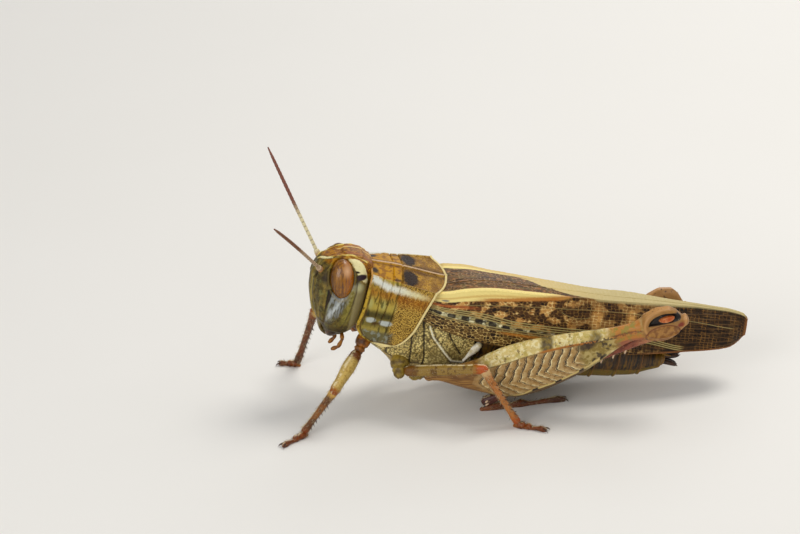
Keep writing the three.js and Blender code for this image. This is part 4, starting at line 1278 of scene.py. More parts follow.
# %% Hind wings
for word, side in SIDES.items():
    def fan(u, v, under, side=side):
        x, q = mixed(3.4, 19.5, u), mixed(0.34, 0.74, v)
        pleat = np.abs((v * 9) % 2 - 1)
        points = wing_place(side, x, q)
        points[..., 1] -= side * (0.62 + 0.16 * pleat + 0.05 * under)
        points[..., 2] -= 0.1
        return from_body(points), dict(spot=np.stack([x, q, 0 * x], -1), pleat=pleat)

    f = Finish(f"wing_fan_{word}", Specular_IOR_Level=0.3)
    film = f.mix("8d8069", "6f604a", f.noise(1.0, stretch=(0.6, 9.0, 1.0)))
    f.surface(f.mix(film, "3f2f20", f.ramp(f.read("pleat"), 0.75, 0.95)), 0.45, f.noise(9.0), 0.01)
    form = Form()
    form.plate(fan, steps(120), steps(90), coarse=(40, 46))
    piece(f"hindwing_{word}", form, f, "wing_smoke", f"hindwing_{word}")

# %% [markdown]
# ## Thorax
# Under the saddle and between the legs, the thorax wall is made of upright plates joined by seams. The
# plates are stippled with pits, and two slanting ribs show pale against them. One loft of rings makes the
# whole trunk, and the seams are lines on its side view that both the relief and the colours follow.


# %% A loft along the body
def trunk(x, top, under, half, squareness, sides, ends=(0.25, 0.25)):
    """Rings along the body. The ends close in over the given lengths."""
    turn = np.linspace(0, 2 * math.pi, sides, endpoint=False)
    c, d = oval(turn, squareness)
    from_end = np.minimum((x - x[0]) / ends[0], (x[-1] - x) / ends[1])
    scale = np.sqrt(1 - (1 - np.clip(from_end, 0.004, 1)) ** 2)[:, None]
    middle, tall = (top(x) + under(x))[:, None] / 2, (top(x) - under(x))[:, None] / 2
    return np.stack([x[:, None] + 0 * c, scale * c * half(x)[:, None], middle + scale * d * tall], -1)


def spaced(start, end, count, end_share=0.12):
    """Numbers from start to end, closer together at both ends."""
    t = np.linspace(0, 1, count)
    t = mixed(t, (1 - np.cos(t * math.pi)) / 2, 1 - end_share)
    return mixed(start, end, t)


# %% Thorax
thorax_top = through((-6.3, -0.9), (-5, -0.45), (-1, -0.6), (3.0, -1.2))
thorax_half = through((-6.3, 1.75), (-5, 2.0), (-2.5, 2.3), (0, 2.5), (3.0, 2.3))
thorax_under = through((-6.3, -5.1), (-4.6, -6.2), (-3.3, -7.2), (-2.2, -7.9), (-0.6, -8.1), (1.2, -7.8),
    (3.0, -7.2))
SEAMS = [[(-2.1, -3.8), (-1.75, -6.6)], [(-1.45, -2.6), (-0.75, -6.0), (-0.7, -6.9)],
         [(0.2, -2.6), (1.0, -4.0), (2.0, -5.3)], [(-3.9, -5.0), (-3.6, -6.6)], [(-4.2, -6.55), (1.6, -6.75)]]
PALE_RIB = [(-0.85, -3.2), (-0.45, -4.0), (0.5, -4.95), (1.35, -5.8), (2.3, -5.95)]


def thorax_finish():
    f = Finish("thorax_cuticle", Specular_IOR_Level=0.4)
    x, _, z = f.axes()
    fine = (f.noise(5) - 0.5) * 0.3
    pits = f.cells(6.5)
    plate = f.mix("ecd68c", "c2a862", f.patchy(1.2, 0.4, 0.6))
    low = f.ramp(z + fine, -6.2, -6.9)
    colour = f.over(
        plate,
        ("e6d68c", f.patchy(8, 0.5, 0.62) * 0.6),
        ("4a3a16", f.ramp(pits, 0.38, 0.62) * 0.8),
        ("3a2e14", f.patchy(2.4, 0.58, 0.68) * 0.6),
        ("7a6838", f.ramp(x + fine, -0.6, -0.2) * f.ramp(z, -4.4, -5.2) * 0.6),
        ("a98f5c", low * 0.7),
        ("241a10", f.near(f.read("seam") + fine * 0.15, 0.06, 0.05)),
        ("ece7cc", f.near(f.read("rib") + fine * 0.25, 0.06, 0.045)),
        ("2a1f10", f.near(abs(f.read("rib") - 0.17 + fine * 0.2), 0.03, 0.05) * 0.8),
    )
    rough = f.noise(12) * 0.16 + 0.38
    return f.surface(colour, rough, f.ramp(pits, 0.5, 0.1) + fine, 0.025, richer=1.03)


def make_thorax(finish):
    x = spaced(-6.3, 3.0, steps(200))
    points = trunk(x, thorax_top, thorax_under, thorax_half, 2.4, steps(220))
    flat = points[..., ::2]
    seam = np.min([line_distance(flat, line) for line in SEAMS], axis=0)
    rib = line_distance(flat, PALE_RIB)
    middle = ridge(points[..., 1], 0.1) * (points[..., 2] < -4)
    plates = 0.1 * np.sin(points[..., 0] * 2.2) * blend(points[..., 2], -2.5, -5)
    height = 0.12 * ridge(rib, 0.1) - 0.14 * ridge(seam, 0.08) - 0.1 * middle + plates
    form = Form()
    form.tube(from_body(lifted(points, height, around=True)), spot=points, seam=seam, rib=rib)
    piece("thorax", form, finish, "olive_cuticle", "thorax")


make_thorax(thorax_finish())

# A pearly knob, narrow below and broad above, bridges the step between the thorax and the first ring.
callus_finish = cuticle("callus_pearl", "f4efe0", "d8cba6", 2.0, 0.3, 6.0, 0.01)
form = Form()
for side in SIDES.values():
    path = between((2.3, side * 2.22, -5.7), (3.2, side * 2.22, -4.25), steps(30))
    t = np.linspace(0, 1, len(path))
    tall = through((0, 0.1), (0.35, 0.16), (0.75, 0.32), (1, 0.26))(t)
    points, _, _ = limb(path, (1, 0, 0.6), tall, tall, 0.7 * tall + 0.06, sides=steps(36), caps=8)
    form.tube(from_body(points), spot=points)
piece("callus", form, callus_finish, "olive_cuticle")

# %% [markdown]
# ## Abdomen
# The abdomen is a row of rings that slide into each other. Each ring is an upper plate and a lower plate
# that meet in a fold low on the flank, with a breathing hole near the fold. Each ring is its own piece,
# a little wider at its rear edge, so the overlap shows as a real step.

# %% Abdomen rings
abdomen_top = through((3, -1.9), (9, -2.2), (14, -2.75), (18.4, -3.6))
abdomen_under = through((3, -6.95), (6, -6.85), (10, -6.55), (14, -6.05), (16, -5.6), (17.4, -4.95),
    (18.4, -4.55))
abdomen_half = through((3, 2.15), (7, 2.1), (12, 1.75), (15.5, 1.35), (17.4, 0.95), (18.4, 0.8))
RING_FROM, RING_TO, RING_COUNT = 3.1, 18.0, 8
RING_STEP = (RING_TO - RING_FROM) / RING_COUNT


def abdomen_finish():
    f = Finish("abdomen_cuticle", Specular_IOR_Level=0.45)
    x, _, _ = f.axes()
    fold, end = f.read("fold"), f.read("end")
    fine = (f.noise(4) - 0.5) * 0.4
    streak = f.noise(1, stretch=(7, 1.2, 0.7))
    colour = f.over(
        f.mix("1d1309", "52391a", f.ramp(streak, 0.4, 0.62)),
        ("7a6a38", f.patchy(1.4, 0.55, 0.7) * 0.4),
        ("7d6a3c", f.ramp(fold + fine, 0.1, -0.25) * 0.7),
        ("a06c34", f.near(end + fine * 0.1, 0.1, 0.08) * 0.9),
        ("7a5a30", f.patchy(1, 0.55, 0.65, 2, stretch=(5, 1, 1.6)) * 0.6),
        ("2a1c0e", f.near(abs(end - 0.3 + fine * 0.1), 0.04, 0.08) * 0.7),
        ("2a1c0e", f.near(abs(fold), 0.03, 0.05) * 0.7),
        ("1c130b", f.near(f.read("hole"), 0.1, 0.04)),
        ("8a6a3c", f.ramp(x + fine, 17, 18) * 0.6),
    )
    rough = f.noise(12) * 0.18 + 0.4
    return f.surface(colour, rough, streak + f.noise(20) * 0.4, 0.03, richer=1.35)


def make_abdomen(finish):
    for ring in range(RING_COUNT):
        start = RING_FROM + ring * RING_STEP
        end = start + RING_STEP + 0.16
        x = spaced(start, end, steps(54), 0.4)
        swell = 0.1 * (x - start) / (end - start)
        points = trunk(x, lambda s: abdomen_top(s) + swell, lambda s: abdomen_under(s) - swell,
                       lambda s: abdomen_half(s) + swell, 2.2, steps(150),
                       (0.1, 0.45 if ring == RING_COUNT - 1 else 0.09))
        share = (points[..., 2] - abdomen_under(x)[:, None]) / (abdomen_top(x) - abdomen_under(x))[:, None]
        fold = (share - 0.3) * 4.5
        to_end = end - points[..., 0]
        hole = np.hypot(points[..., 0] - start - 0.5, fold - 0.45) + 9 * (np.abs(points[..., 1]) < 0.5)
        height = 0.05 * ridge(to_end - 0.1, 0.08) - 0.05 * ridge(to_end - 0.28, 0.07)
        height -= 0.07 * ridge(fold, 0.1)
        height -= 0.06 * ridge(hole, 0.09)
        height += 0.05 * ridge(points[..., 1], 0.16) * (share > 0.8)
        form = Form()
        skin = from_body(lifted(points, height, around=True))
        form.tube(skin, spot=points, fold=fold, end=to_end, hole=hole)
        name = f"abdomen_segment_{ring + 1}"
        piece(name, form, finish, "olive_cuticle", name)


abdomen_skin = abdomen_finish()
make_abdomen(abdomen_skin)

# %% [markdown]
# ### Tail
# Behind the last ring come a small roof plate, two short feelers called cerci, and the egg-laying tool:
# four horny prongs with hooked ends. The prongs pair up, an upper and a lower pair, and each pair is one
# piece here because the frame has one solid for each.

# %% Tail
form = Form()
t = np.linspace(0, 1, steps(30))
path = bent((17.9, 0, -3.25), (18.4, 0, -3.22), (18.8, 0, -3.3), len(t))
taper = 1 - 0.5 * t
points, _, _ = limb(path, (0, 0, 1), 0.26 * taper, 0.2 * taper, 0.42 * (1 - 0.45 * t), sides=steps(36))
form.tube(from_body(points), spot=points, fold=1.0, end=1.0, hole=9.0)
for side in SIDES.values():
    path = bent((17.9, 0.5 * side, -3.55), (18.2, 0.66 * side, -3.55), (18.5, 0.6 * side, -3.6), len(t))
    taper = 1 - 0.75 * t
    points, _, _ = limb(path, (0, 0, 1), 0.13 * taper, 0.13 * taper, 0.12 * taper, sides=12)
    form.tube(from_body(points), spot=points, fold=1.0, end=1.0, hole=9.0)
piece("abdomen_tip", form, abdomen_skin, "olive_cuticle", "abdomen_tip")

for name, height, hook in (("ovipositor_upper", -3.84, 0.24), ("ovipositor_lower", -4.34, -0.22)):
    form = Form()
    for side in SIDES.values():
        tip = (19.3, 0.17 * side, height + hook)
        path = bent((17.8, 0.2 * side, height), (18.8, 0.22 * side, height), tip, len(t))
        size = through((0, 0.2), (0.5, 0.19), (0.8, 0.13), (1, 0.03))(t)
        points, _, _ = limb(path, (0, 0, 1), size, size, size * 0.8, sides=steps(24))
        form.tube(from_body(points), spot=points)
    piece(name, form, horn_finish, "dark_horn", name)

# %% [markdown]
# ## Hips
# Each leg hangs from a short thick hip joint and a small ring beyond it. They are limbs with a swollen
# middle, and each pair of joints is one piece for each hip of the frame.

# %% Hips
COXAE = {
    "front": ((-5.35, 1.25, -5.2), (-5.72, 1.95, -6.15), 0.55),
    "mid": ((-2.4, 1.6, -6.5), (-2.45, 2.6, -7.2), 0.72),
    "hind": ((0.1, 1.2, -6.9), (-0.95, 1.75, -7.55), 0.8),
}
hip_finish = cuticle("hip_cuticle", "9c8549", "5f4c26", 1.6, 0.4, 8.0, 0.02)
front_hip = cuticle("hip_front", "9a6230", "553216", 1.6, 0.4, 8.0, 0.02)
for pair, (inner, outer, radius) in COXAE.items():
    for word, side in SIDES.items():
        start, end = np.array(inner) * [1, side, 1], np.array(outer) * [1, side, 1]
        path = between(start, end + (end - start) * 0.12, steps(36))
        t = np.linspace(0, 1, len(path))
        size = radius * through((0, 0.95), (0.35, 1.05), (0.62, 0.92), (0.7, 0.72), (0.85, 0.8), (1, 0.62))(t)
        points, along, turn = limb(path, (1, 0, 0), size, size, size * 0.92, sides=steps(40))
        height = 0.05 * ridge(np.sin(turn), 0.2) - 0.04 * ridge(along - along.max() * 0.62, 0.08)
        form = Form()
        form.tube(from_body(lifted(points, height, around=True)), spot=points)
        finish = front_hip if pair == "front" else hip_finish
        piece(f"coxa_{pair}_{word}", form, finish, "olive_cuticle", f"coxa_{pair}_{word}")

# %% [markdown]
# ## Walking legs
# The four walking legs have a plain thigh, a thin shin with two rows of small spines under it, and a foot
# of three pads with a pair of claws. Their joints are placed by the frame's own knees, heels and toes,
# given here in the standing frame. Feet are flattened where they touch the floor.

# %% Places of the walking legs
LEG_POSE = {
    "front_left": ((-14.78, -5.0, 3.65), (-17.05, -5.13, 0.55), (-18.75, -6.6)),
    "front_right": ((-15.45, 4.6, 5.7), (-16.7, 6.55, 0.55), (-18.0, 6.9)),
    "mid_left": ((-3.45, -5.6, 5.15), (-0.95, -5.55, 0.55), (1.05, -6.5)),
    "mid_right": ((-3.5, 5.6, 4.5), (-1.8, 5.9, 0.55), (0.4, 6.75)),
}
SHIN_UP = (-1, 0, 0.2)


def body_to_standing(point):
    return TURN @ np.array(point, float) + SADDLE_TIP_STANDING


def leg_finish(name, base, dark, joint, tip, scale=2):
    """Two tones in patches and specks, with a joint colour at the start and another at the end."""
    f = Finish(name, Specular_IOR_Level=0.42)
    share = f.read("share")
    fine = (f.noise(6) - 0.5) * 0.3
    specks = f.patchy(scale, 0.5, 0.62)
    colour = f.over(
        f.mix(base, dark, specks),
        (dark, f.patchy(7, 0.58, 0.68) * 0.6),
        (joint, f.ramp(share + fine * 0.4, 0.16, 0.06)),
        (tip, f.ramp(share + fine * 0.4, 0.8, 0.95)),
        ("efe2bc", f.near(abs(f.read("turn") - 1.57), 0.22, 0.2) * f.patchy(3, 0.42, 0.55) * 0.8),
        ("2a190e", f.read("spike") * 0.9),
    )
    return f.surface(colour, 0.42, f.noise(14) + f.cells(9) * 0.4, 0.012, richer=1.12)


def leg_joint(points, along, turn, hairiness):
    """A form of one joint in the standing frame. Its skin also becomes a bed for hairs."""
    beds.append((from_standing(points), hairiness))
    form = Form()
    form.tube(from_standing(points), spot=points, share=along / along.max(), turn=turn)
    return form


def foot(name, heel, toe, size, finish, slot):
    """Three pads in a row, flat on the floor, and a pair of claws as a piece of their own."""
    heel, toe = np.array([*heel[:2], 0.0]), np.array([*toe[:2], 0.0])
    length = np.linalg.norm(toe - heel)
    axis = (toe - heel) / length
    t = np.linspace(-0.06, 1, steps(110))
    pads = through((-0.06, 0.5), (0.02, 0.75), (0.12, 0.95), (0.24, 0.98), (0.3, 0.62), (0.36, 0.75),
        (0.46, 0.98), (0.52, 0.68), (0.58, 0.5), (0.8, 0.6), (0.92, 0.82), (1, 0.7))
    radius = size * pads(t)
    path = heel + np.outer(t * length, axis)
    path[:, 2] = radius * 0.72 + 0.05 * blend(t, 0.5, 0.75) * blend(t, 0.96, 0.8)
    points, along, turn = limb(path, (0, 0, 1), radius, radius, radius * 0.92, sides=steps(40), caps=4)
    points[..., 2] = np.maximum(points[..., 2], 0)
    share = np.clip(along / length, 0, 1)
    beds.append((from_standing(points), 1.0))
    form, claws = Form(), Form()
    form.tube(from_standing(points), spot=points, share=share, turn=turn)
    across = np.array([-axis[1], axis[0], 0])
    for sign in (-1, 1):
        root = toe - axis * 0.03 + across * sign * size * 0.35 + [0, 0, size * 0.75]
        path = bent(root, root + axis * 0.3 + across * sign * 0.14 + [0, 0, 0.08],
                    root + axis * 0.4 + across * sign * 0.2 + [0, 0, -size * 0.6], steps(20))
        width = 0.07 * (1 - np.linspace(0, 1, len(path)) ** 1.5) + 0.008
        points, _, _ = limb(path, (0, 0, 1), width, width, width, sides=10, caps=3)
        points[..., 2] = np.maximum(points[..., 2], 0)
        claws.tube(from_standing(points), spot=points)
    piece(f"tarsus_{name}", form, finish, slot, f"tarsus_{name}")
    piece(f"claws_{name}", claws, horn_finish, "dark_horn")


beds = []  # grids of skin points where short hairs grow, each with how thickly they grow

# %% Walking legs
front_thigh = leg_finish("front_thigh", "c4a968", "a5864c", "6a3c1c", "8e4d24", 5.0)
mid_thigh = leg_finish("mid_thigh", "8f7440", "62461f", "6e4a22", "b0552f")
front_shin = leg_finish("front_shin", "8a5a34", "5e3a20", "c9a260", "7c3d20")
mid_shin = leg_finish("mid_shin", "b0764a", "8a5a34", "c9a77c", "a8542c")
far_shin = leg_finish("far_shin", "6d3c20", "442715", "7e4a28", "54331e")
foot_finish = leg_finish("foot_brown", "7d4527", "5a2f1c", "94603a", "6b3a22")
thigh_size = {
    "front": through((0, 0.5), (0.3, 0.55), (0.8, 0.42), (0.93, 0.44), (1, 0.38)),
    "mid": through((0, 0.42), (0.4, 0.44), (0.8, 0.36), (0.93, 0.4), (1, 0.36)),
}
shin_size = through((0, 0.3), (0.05, 0.36), (0.16, 0.3), (0.8, 0.24), (0.95, 0.3), (1, 0.3))
SHIN_SPINES, HIND_SHIN_SPINES = 7, 11  # in each of the two rows


def walking_leg(name, knee, heel, toe):
    pair, word = name.split("_")
    side = SIDES[word]
    _, outer, radius = COXAE[pair]
    hip = body_to_standing(np.array(outer) * [1, side, 1])
    hip = hip + unit(np.array(knee) - hip) * (0.7 * radius + 0.3)
    path = between(hip, knee, steps(90))
    t = np.linspace(0, 1, len(path))
    size = thigh_size[pair](t)
    points, along, turn = limb(path, (0, 0, 1), size, size, size * 0.86, sides=steps(56), caps=8)
    keels = ridge(np.cos(turn), 0.16) * (np.sin(turn) > 0) + 0.7 * ridge(np.abs(np.cos(turn)) - 0.75, 0.1)
    share = along / along.max()
    points = lifted(points, 0.035 * keels * blend(share, 0.02, 0.15) * blend(share, 0.98, 0.85), around=True)
    form = leg_joint(points, along, turn, 1.0)
    finish = front_thigh if pair == "front" else mid_thigh
    piece(f"femur_{name}", form, finish, "femur_tan", f"femur_{name}")

    path = bent(knee, (np.array(knee) + heel) / 2 + [0.06 * side, 0.08 * side, 0], heel, steps(90))
    size = shin_size(t)
    points, along, turn = limb(path, SHIN_UP, size, size, size * 0.9, sides=steps(36), caps=6)
    form = leg_joint(points, along, turn, 1.6)
    run = unit(np.array(heel) - knee)
    across = unit(np.cross(run, SHIN_UP))
    under = -unit(np.cross(across, run))
    for row in (-1, 1):
        for k in range(SHIN_SPINES):
            at = 0.3 + 0.095 * k
            middle = path[round(at * (len(path) - 1))]
            out = unit(under + across * row * 0.8 + run * 0.7)
            root = middle + unit(under + across * row * 0.8) * shin_size(at) * 0.8
            length = 0.26 + 0.06 * ((k * 3 + row) % 4) / 3
            spike(form, from_standing(root), out, length, 0.042, sides=7, rings=5, spot=[0, 0, 0],
                  share=at, turn=0.0, spike=1.0)
    finish = {"front_left": front_shin, "mid_left": mid_shin}.get(name, far_shin)
    piece(f"tibia_{name}", form, finish, "orange_brown_cuticle", f"tibia_{name}")

    foot(name, heel, toe, 0.3, foot_finish, "orange_brown_cuticle")


for name, (knee, heel, toe) in LEG_POSE.items():
    walking_leg(name, knee, heel, toe)

# %% [markdown]
# ## Jumping legs
# The hind thigh is the largest single shape. Its outer face lies between two keels and is crossed by
# slanting ribs that meet along the middle like the barbs of a feather: the muscle pulls on the grooves
# between them. The knee is a rounded box with a dark crescent and an orange pad in it. The shin lies
# folded under the thigh, and carries two rows of black-tipped spines and four spurs at the heel.

# %% Thigh outline
HIND_POSE = {
    "left": ((-7.35, -3.52, 3.22), 13.3, 3.6, (-2.9, -2.5, 0.8), (3.1, -1.75)),
    "right": ((-6.45, 3.35, 3.45), 3.0, 2.0, (-3.4, 2.45, 0.8), (2.6, 2.2)),
}
HIND_ROLL, THIGH_LENGTH = 0.26, 20.0
KNEE_PIVOT = (17.9, -0.45)  # along the thigh, and above its axis
thigh_above = through((0, 0.35), (2, 0.45), (3.8, 0.7), (5, 1.15), (6.2, 1.5), (8, 1.6), (10.9, 1.42),
    (13.5, 1.1), (15.2, 0.92), (16.2, 1.0), (17.2, 1.45), (18.2, 1.8), (18.9, 1.75), (19.4, 1.4), (20, 0.45))
thigh_below = through((0, 0.45), (2, 1.3), (3.3, 2.0), (4.9, 2.9), (6.3, 3.35), (7.9, 3.3), (9.7, 2.95),
    (11.6, 2.4), (12.9, 1.8), (14.2, 1.1), (15.5, 0.55), (16.4, 0.5), (17.2, 0.92), (18.3, 1.15), (19, 0.95),
    (20, 0.1))
thigh_half = through((0, 0.42), (3, 0.85), (7, 1.08), (11, 0.88), (14, 0.62), (15.6, 0.54), (17.4, 0.76),
    (19, 0.7), (20, 0.5))
thigh_sway = through((0, 0.8), (3, 0.3), (7, 0), (20, 0))
upper_keel = through((3.5, 0.25), (5, 0.65), (6.4, 0.88), (8, 1.02), (9.5, 0.98), (11, 0.9), (12.6, 0.7),
    (13.4, 0.6), (16.5, 0.5))
lower_keel = through((3.5, -1.5), (5, -2.35), (6.5, -2.6), (7.4, -2.4), (9.3, -2.2), (11, -1.8), (12.8, -1.2),
    (14.2, -0.6), (16, -0.1))
RIB_PITCH = 0.73


def thigh_fields(s, h, out):
    """Fields on the thigh, from places along it, above its axis and out from the body."""
    high, low = upper_keel(s), lower_keel(s)
    middle = mixed(low, high, 0.45)
    slant = np.where(h > middle, 0.62 * (h - middle), 0.95 * (middle - h))
    slant = slant + 0.05 * np.sin(h * 5.0 + s * 1.7) + 0.03 * np.sin(h * 11.0 - s * 2.3)
    phase = (s - slant) / RIB_PITCH
    inside = blend(h, high, high - 0.12) * blend(h, low, low + 0.12) * blend(s - slant, 3.0, 3.6)
    inside = inside * blend(s - slant, 11.8, 11.2)
    rib = phase - np.floor(phase)
    return dict(s=s, h=h, rib=rib, inside=inside, upper=np.abs(h - high), lower=np.abs(h - low),
                outer=blend(out, -0.1, 0.1))


def thigh_height(fields):
    s, h, rib = fields["s"], fields["h"], fields["rib"]
    barb = blend(rib, 0.0, 0.16) * (1 - 0.55 * rib)
    keels = 0.11 * ridge(fields["upper"], 0.07) + 0.11 * ridge(fields["lower"], 0.08)
    keels = keels * blend(s, 3.2, 4.6) * blend(s, 17.0, 16.2)
    arch = np.hypot((s - 18.5) / 1.6, (h - 0.72) / 1.08)
    crescent = np.hypot((s - 18.45) / 1.3, (h - 0.75) / 0.85)
    split = h - 0.82 + 0.07 * (s - 18.4)
    pit = blend(crescent, 1.0, 0.92) * blend(split, -0.02, 0.08) * fields["outer"]
    lens = np.hypot((s - 18.72) / 0.72, (h - 1.1) / 0.28)
    lobe = np.hypot((s - 18.1) / 1.25, (h + 0.1) / 0.8)
    knee = blend(s, 16.4, 17.0)
    fields.update(arch=arch, crescent=crescent, split=split, lens=lens, lobe=lobe)
    return (0.085 * barb * fields["inside"] + keels + knee * (
        0.1 * ridge(arch - 1.0, 0.1) - 0.3 * pit + 0.26 * pit * blend(lens, 1.0, 0.7) +
        0.1 * blend(lobe, 1.1, 0.85)))


# %% [markdown]
# ### Thigh colours
# The upper face is khaki with dark gold patches. Each rib is khaki-grey, has a dark groove in front of
# it that painted shade deepens, and a broken cream edge along its crest that a painted highlight
# brightens. The upper keel is orange-brown, the lower one cream with black spots, and the flange under
# it is brown darkened with painted shade. The knee's rim is tan, the crescent black, the pad orange, and
# the lobe tan, with a painted highlight along the lobe's top edge.


# %% Thigh finish
def thigh_finish():
    f = Finish("thigh_cuticle", Specular_IOR_Level=0.42)
    s, h, _ = f.axes()
    rib, inside, upper, lower = f.reads("rib inside upper lower")
    arch, crescent, split, lens, lobe = f.reads("arch crescent split lens lobe")
    outer = f.read("outer")
    fine = (f.noise(7) - 0.5) * 0.3
    wander = (f.noise(1.3, 2) - 0.5) * 1.6
    above = f.ramp(f.read("high"), -0.02, 0.05)
    # below the upper keel, outside the ribs: the flange's own brown, darkened with painted shade
    underside_brown_and_shade = f.ramp(f.read("high"), 0.02, -0.05) * (1 - f.ramp(inside, 0, 0.2))
    root = f.ramp(s + wander * 0.5, 4.8, 3.6)
    # the dark groove before each rib: its own dark line, deepened with painted shade
    groove = f.ramp(rib + fine * 0.2, 0.25, 0.13).most(f.ramp(rib + fine * 0.2, 0.86, 0.95))
    behind = f.ramp(s + fine, 11.4, 12) * f.ramp(s + fine, 15, 14.2) * f.ramp(f.read("high"), 0.02, -0.05)
    broken = f.patchy(1, 0.47, 0.53, stretch=(2, 3.6, 1))
    # the broken cream edge on each rib's crest, brightened as a painted highlight
    cream_dash_and_highlight = f.near(abs(rib - 0.25 + fine * 0.12), 0.06, 0.04) * broken
    knee = f.ramp(s, 16.5, 16.9)
    shaft = f.ramp(s + fine, 13.6, 14.8)
    patches = f.blob((s - 9.4 - (h - 1.3) * 0.3) / 0.6, (h - 1.35) / 0.8, fine, 0.8, 0.35)
    patches = patches.most(f.blob((s - 4.6) / 0.5, (h - 0.5) / 0.3, fine, 0.7, 0.4) * 0.8)
    patches = patches.most(f.blob((s - 13.1) / 0.6, (h - 0.9) / 0.35, fine, 0.8, 0.3) * 0.8)
    spot_place = (s + wander * 0.3).pingpong(0.95) - 0.1
    spots = f.blob(spot_place / 0.2, lower / 0.2, fine, 0.85, 0.3)
    striae = f.noise(1, stretch=(0.6, 8, 2))
    far_spot = f.blob((s - 13.5) / 0.25, (h + 0.95) / 0.2, fine, 0.8, 0.3)
    far_spot = far_spot.most(f.blob((s - 14.1) / 0.25, (h + 0.75) / 0.2, fine, 0.8, 0.3))
    far_dark = f.blob((s - 12.3) / 0.9, (h - 0.5) / 0.4, fine, 0.8, 0.3)
    colour = f.over(
        f.mix("958350", "76602f", f.patchy(2, 0.42, 0.6)),
        ("cdb777", above * (1 - root)),
        ("e0d2a0", above * f.patchy(3.4, 0.48, 0.58) * (1 - root)),
        ("a5923e", above * f.patchy(1.9, 0.52, 0.6) * 0.6),
        ("5a4418", above * f.patchy(2.7, 0.6, 0.66) * 0.7),
        (f.mix("3a290d", "77601f", f.patchy(3, 0.42, 0.6)), patches * above * 0.9),
        # the underside's brown with painted shade
        ("5a3f22", underside_brown_and_shade * f.ramp(s, 3.8, 5) * 0.85),
        (f.mix("9d7440", "6f4a24", f.ramp(striae, 0.4, 0.6)), root),
        (f.mix(f.mix("e6cc98", "bf9a62", f.patchy(3, 0.35, 0.65)), "94703f", rib), inside),
        ("4f3618", inside * f.patchy(4.5, 0.58, 0.68) * 0.7),
        # painted shade in the rib grooves, then a painted highlight on the rib crests
        ("1b1007", inside * groove * 0.95),
        ("ecdcaa", inside * cream_dash_and_highlight),
        (f.mix("a8672f", "c08a4a", striae), shaft * (1 - knee)),
        ("8a8038", shaft * (1 - knee) * f.patchy(2.2, 0.5, 0.6) * 0.8),
        ("5a2c1a", shaft * (1 - knee) * f.near(abs(h - 0.62 + fine), 0.05, 0.06) * 0.8),
        ("7a3d44", shaft * (1 - knee) * f.ramp(h, 0.1, -0.1) * 0.6),
        (f.mix("8a7436", "b9a56a", f.patchy(2.4, 0.4, 0.6, 2)), behind * 0.9),
        ("2e1f10", behind * f.patchy(1.9, 0.54, 0.62) * 0.85),
        ("3a2715", far_dark * (1 - knee) * 0.85),
        ("d9cc9c", far_spot),
        ("a5682f", f.near(upper, 0.07, 0.05) * f.ramp(s, 8.2, 9.2) * f.ramp(s, 13.4, 12.8)),
        ("2e1d10", f.near(upper, 0.13, 0.05) * f.ramp(s, 10, 11.5) * f.ramp(s, 15.5, 14)
         * f.ramp(fine, -0.02, 0.03)),
        ("cbb476", f.near(lower, 0.14, 0.05) * f.ramp(s, 5, 7) * f.ramp(s, 14.2, 13.2)),
        ("1f150c", f.near(lower, 0.2, 0.06) * spots * f.ramp(s, 5, 7) * f.ramp(s, 14.2, 13.2)),
        (f.mix("8f6234", "a67d48", f.noise(2.5)), knee),
        ("b98a56", knee * f.near(abs(arch - 1), 0.06, 0.06)),
        ("7a2f1c", knee * f.blob((s - 19.6) / 0.3, (h - 0.3) / 0.25, fine, 0.8, 0.4) * outer),
        ("3a1c0c", knee * (1 - outer) * f.patchy(4, 0.6, 0.66) * 0.85),
        ("160a05", knee * outer * f.ramp(crescent, 1.02, 0.97) * f.ramp(split, -0.04, 0.02)),
        (f.mix("b0552c", "d08a5c", f.patchy(3, 0.35, 0.65)), knee * outer * f.ramp(lens, 1, 0.88)),
        (f.mix("7f5228", "a5773f", f.patchy(3, 0.4, 0.6)), knee * f.ramp(lobe, 1.06, 1)
         * f.ramp(split, 0, -0.06)),
        # painted highlight: a cream line along the top edge of the knee's lower lobe
        ("e0c690", knee * f.near(abs(split + 0.06), 0.04, 0.04) * f.ramp(lobe, 1.06, 1)),
        ("6e3a1e", knee * f.near(abs(lobe - 1.04), 0.04, 0.05) * f.ramp(split, 0, -0.1)),
    )
    rough, relief = f.noise(12) * 0.16 + 0.36, f.noise(12) + f.cells(7) * 0.3
    return f.surface(colour, rough, relief, 0.016, richer=1.06)


# %% Hind thighs
def hind_frame(word):
    hip, rise, splay, *_ = HIND_POSE[word]
    side, lift, turn = SIDES[word], math.radians(rise), math.radians(splay)
    axis = unit([math.cos(turn), side * math.sin(turn), math.tan(lift)])
    up = unit([-math.sin(lift), side * HIND_ROLL, math.cos(lift)])
    across = unit(np.cross(axis, up))
    return np.array(hip), axis, np.cross(across, axis), across


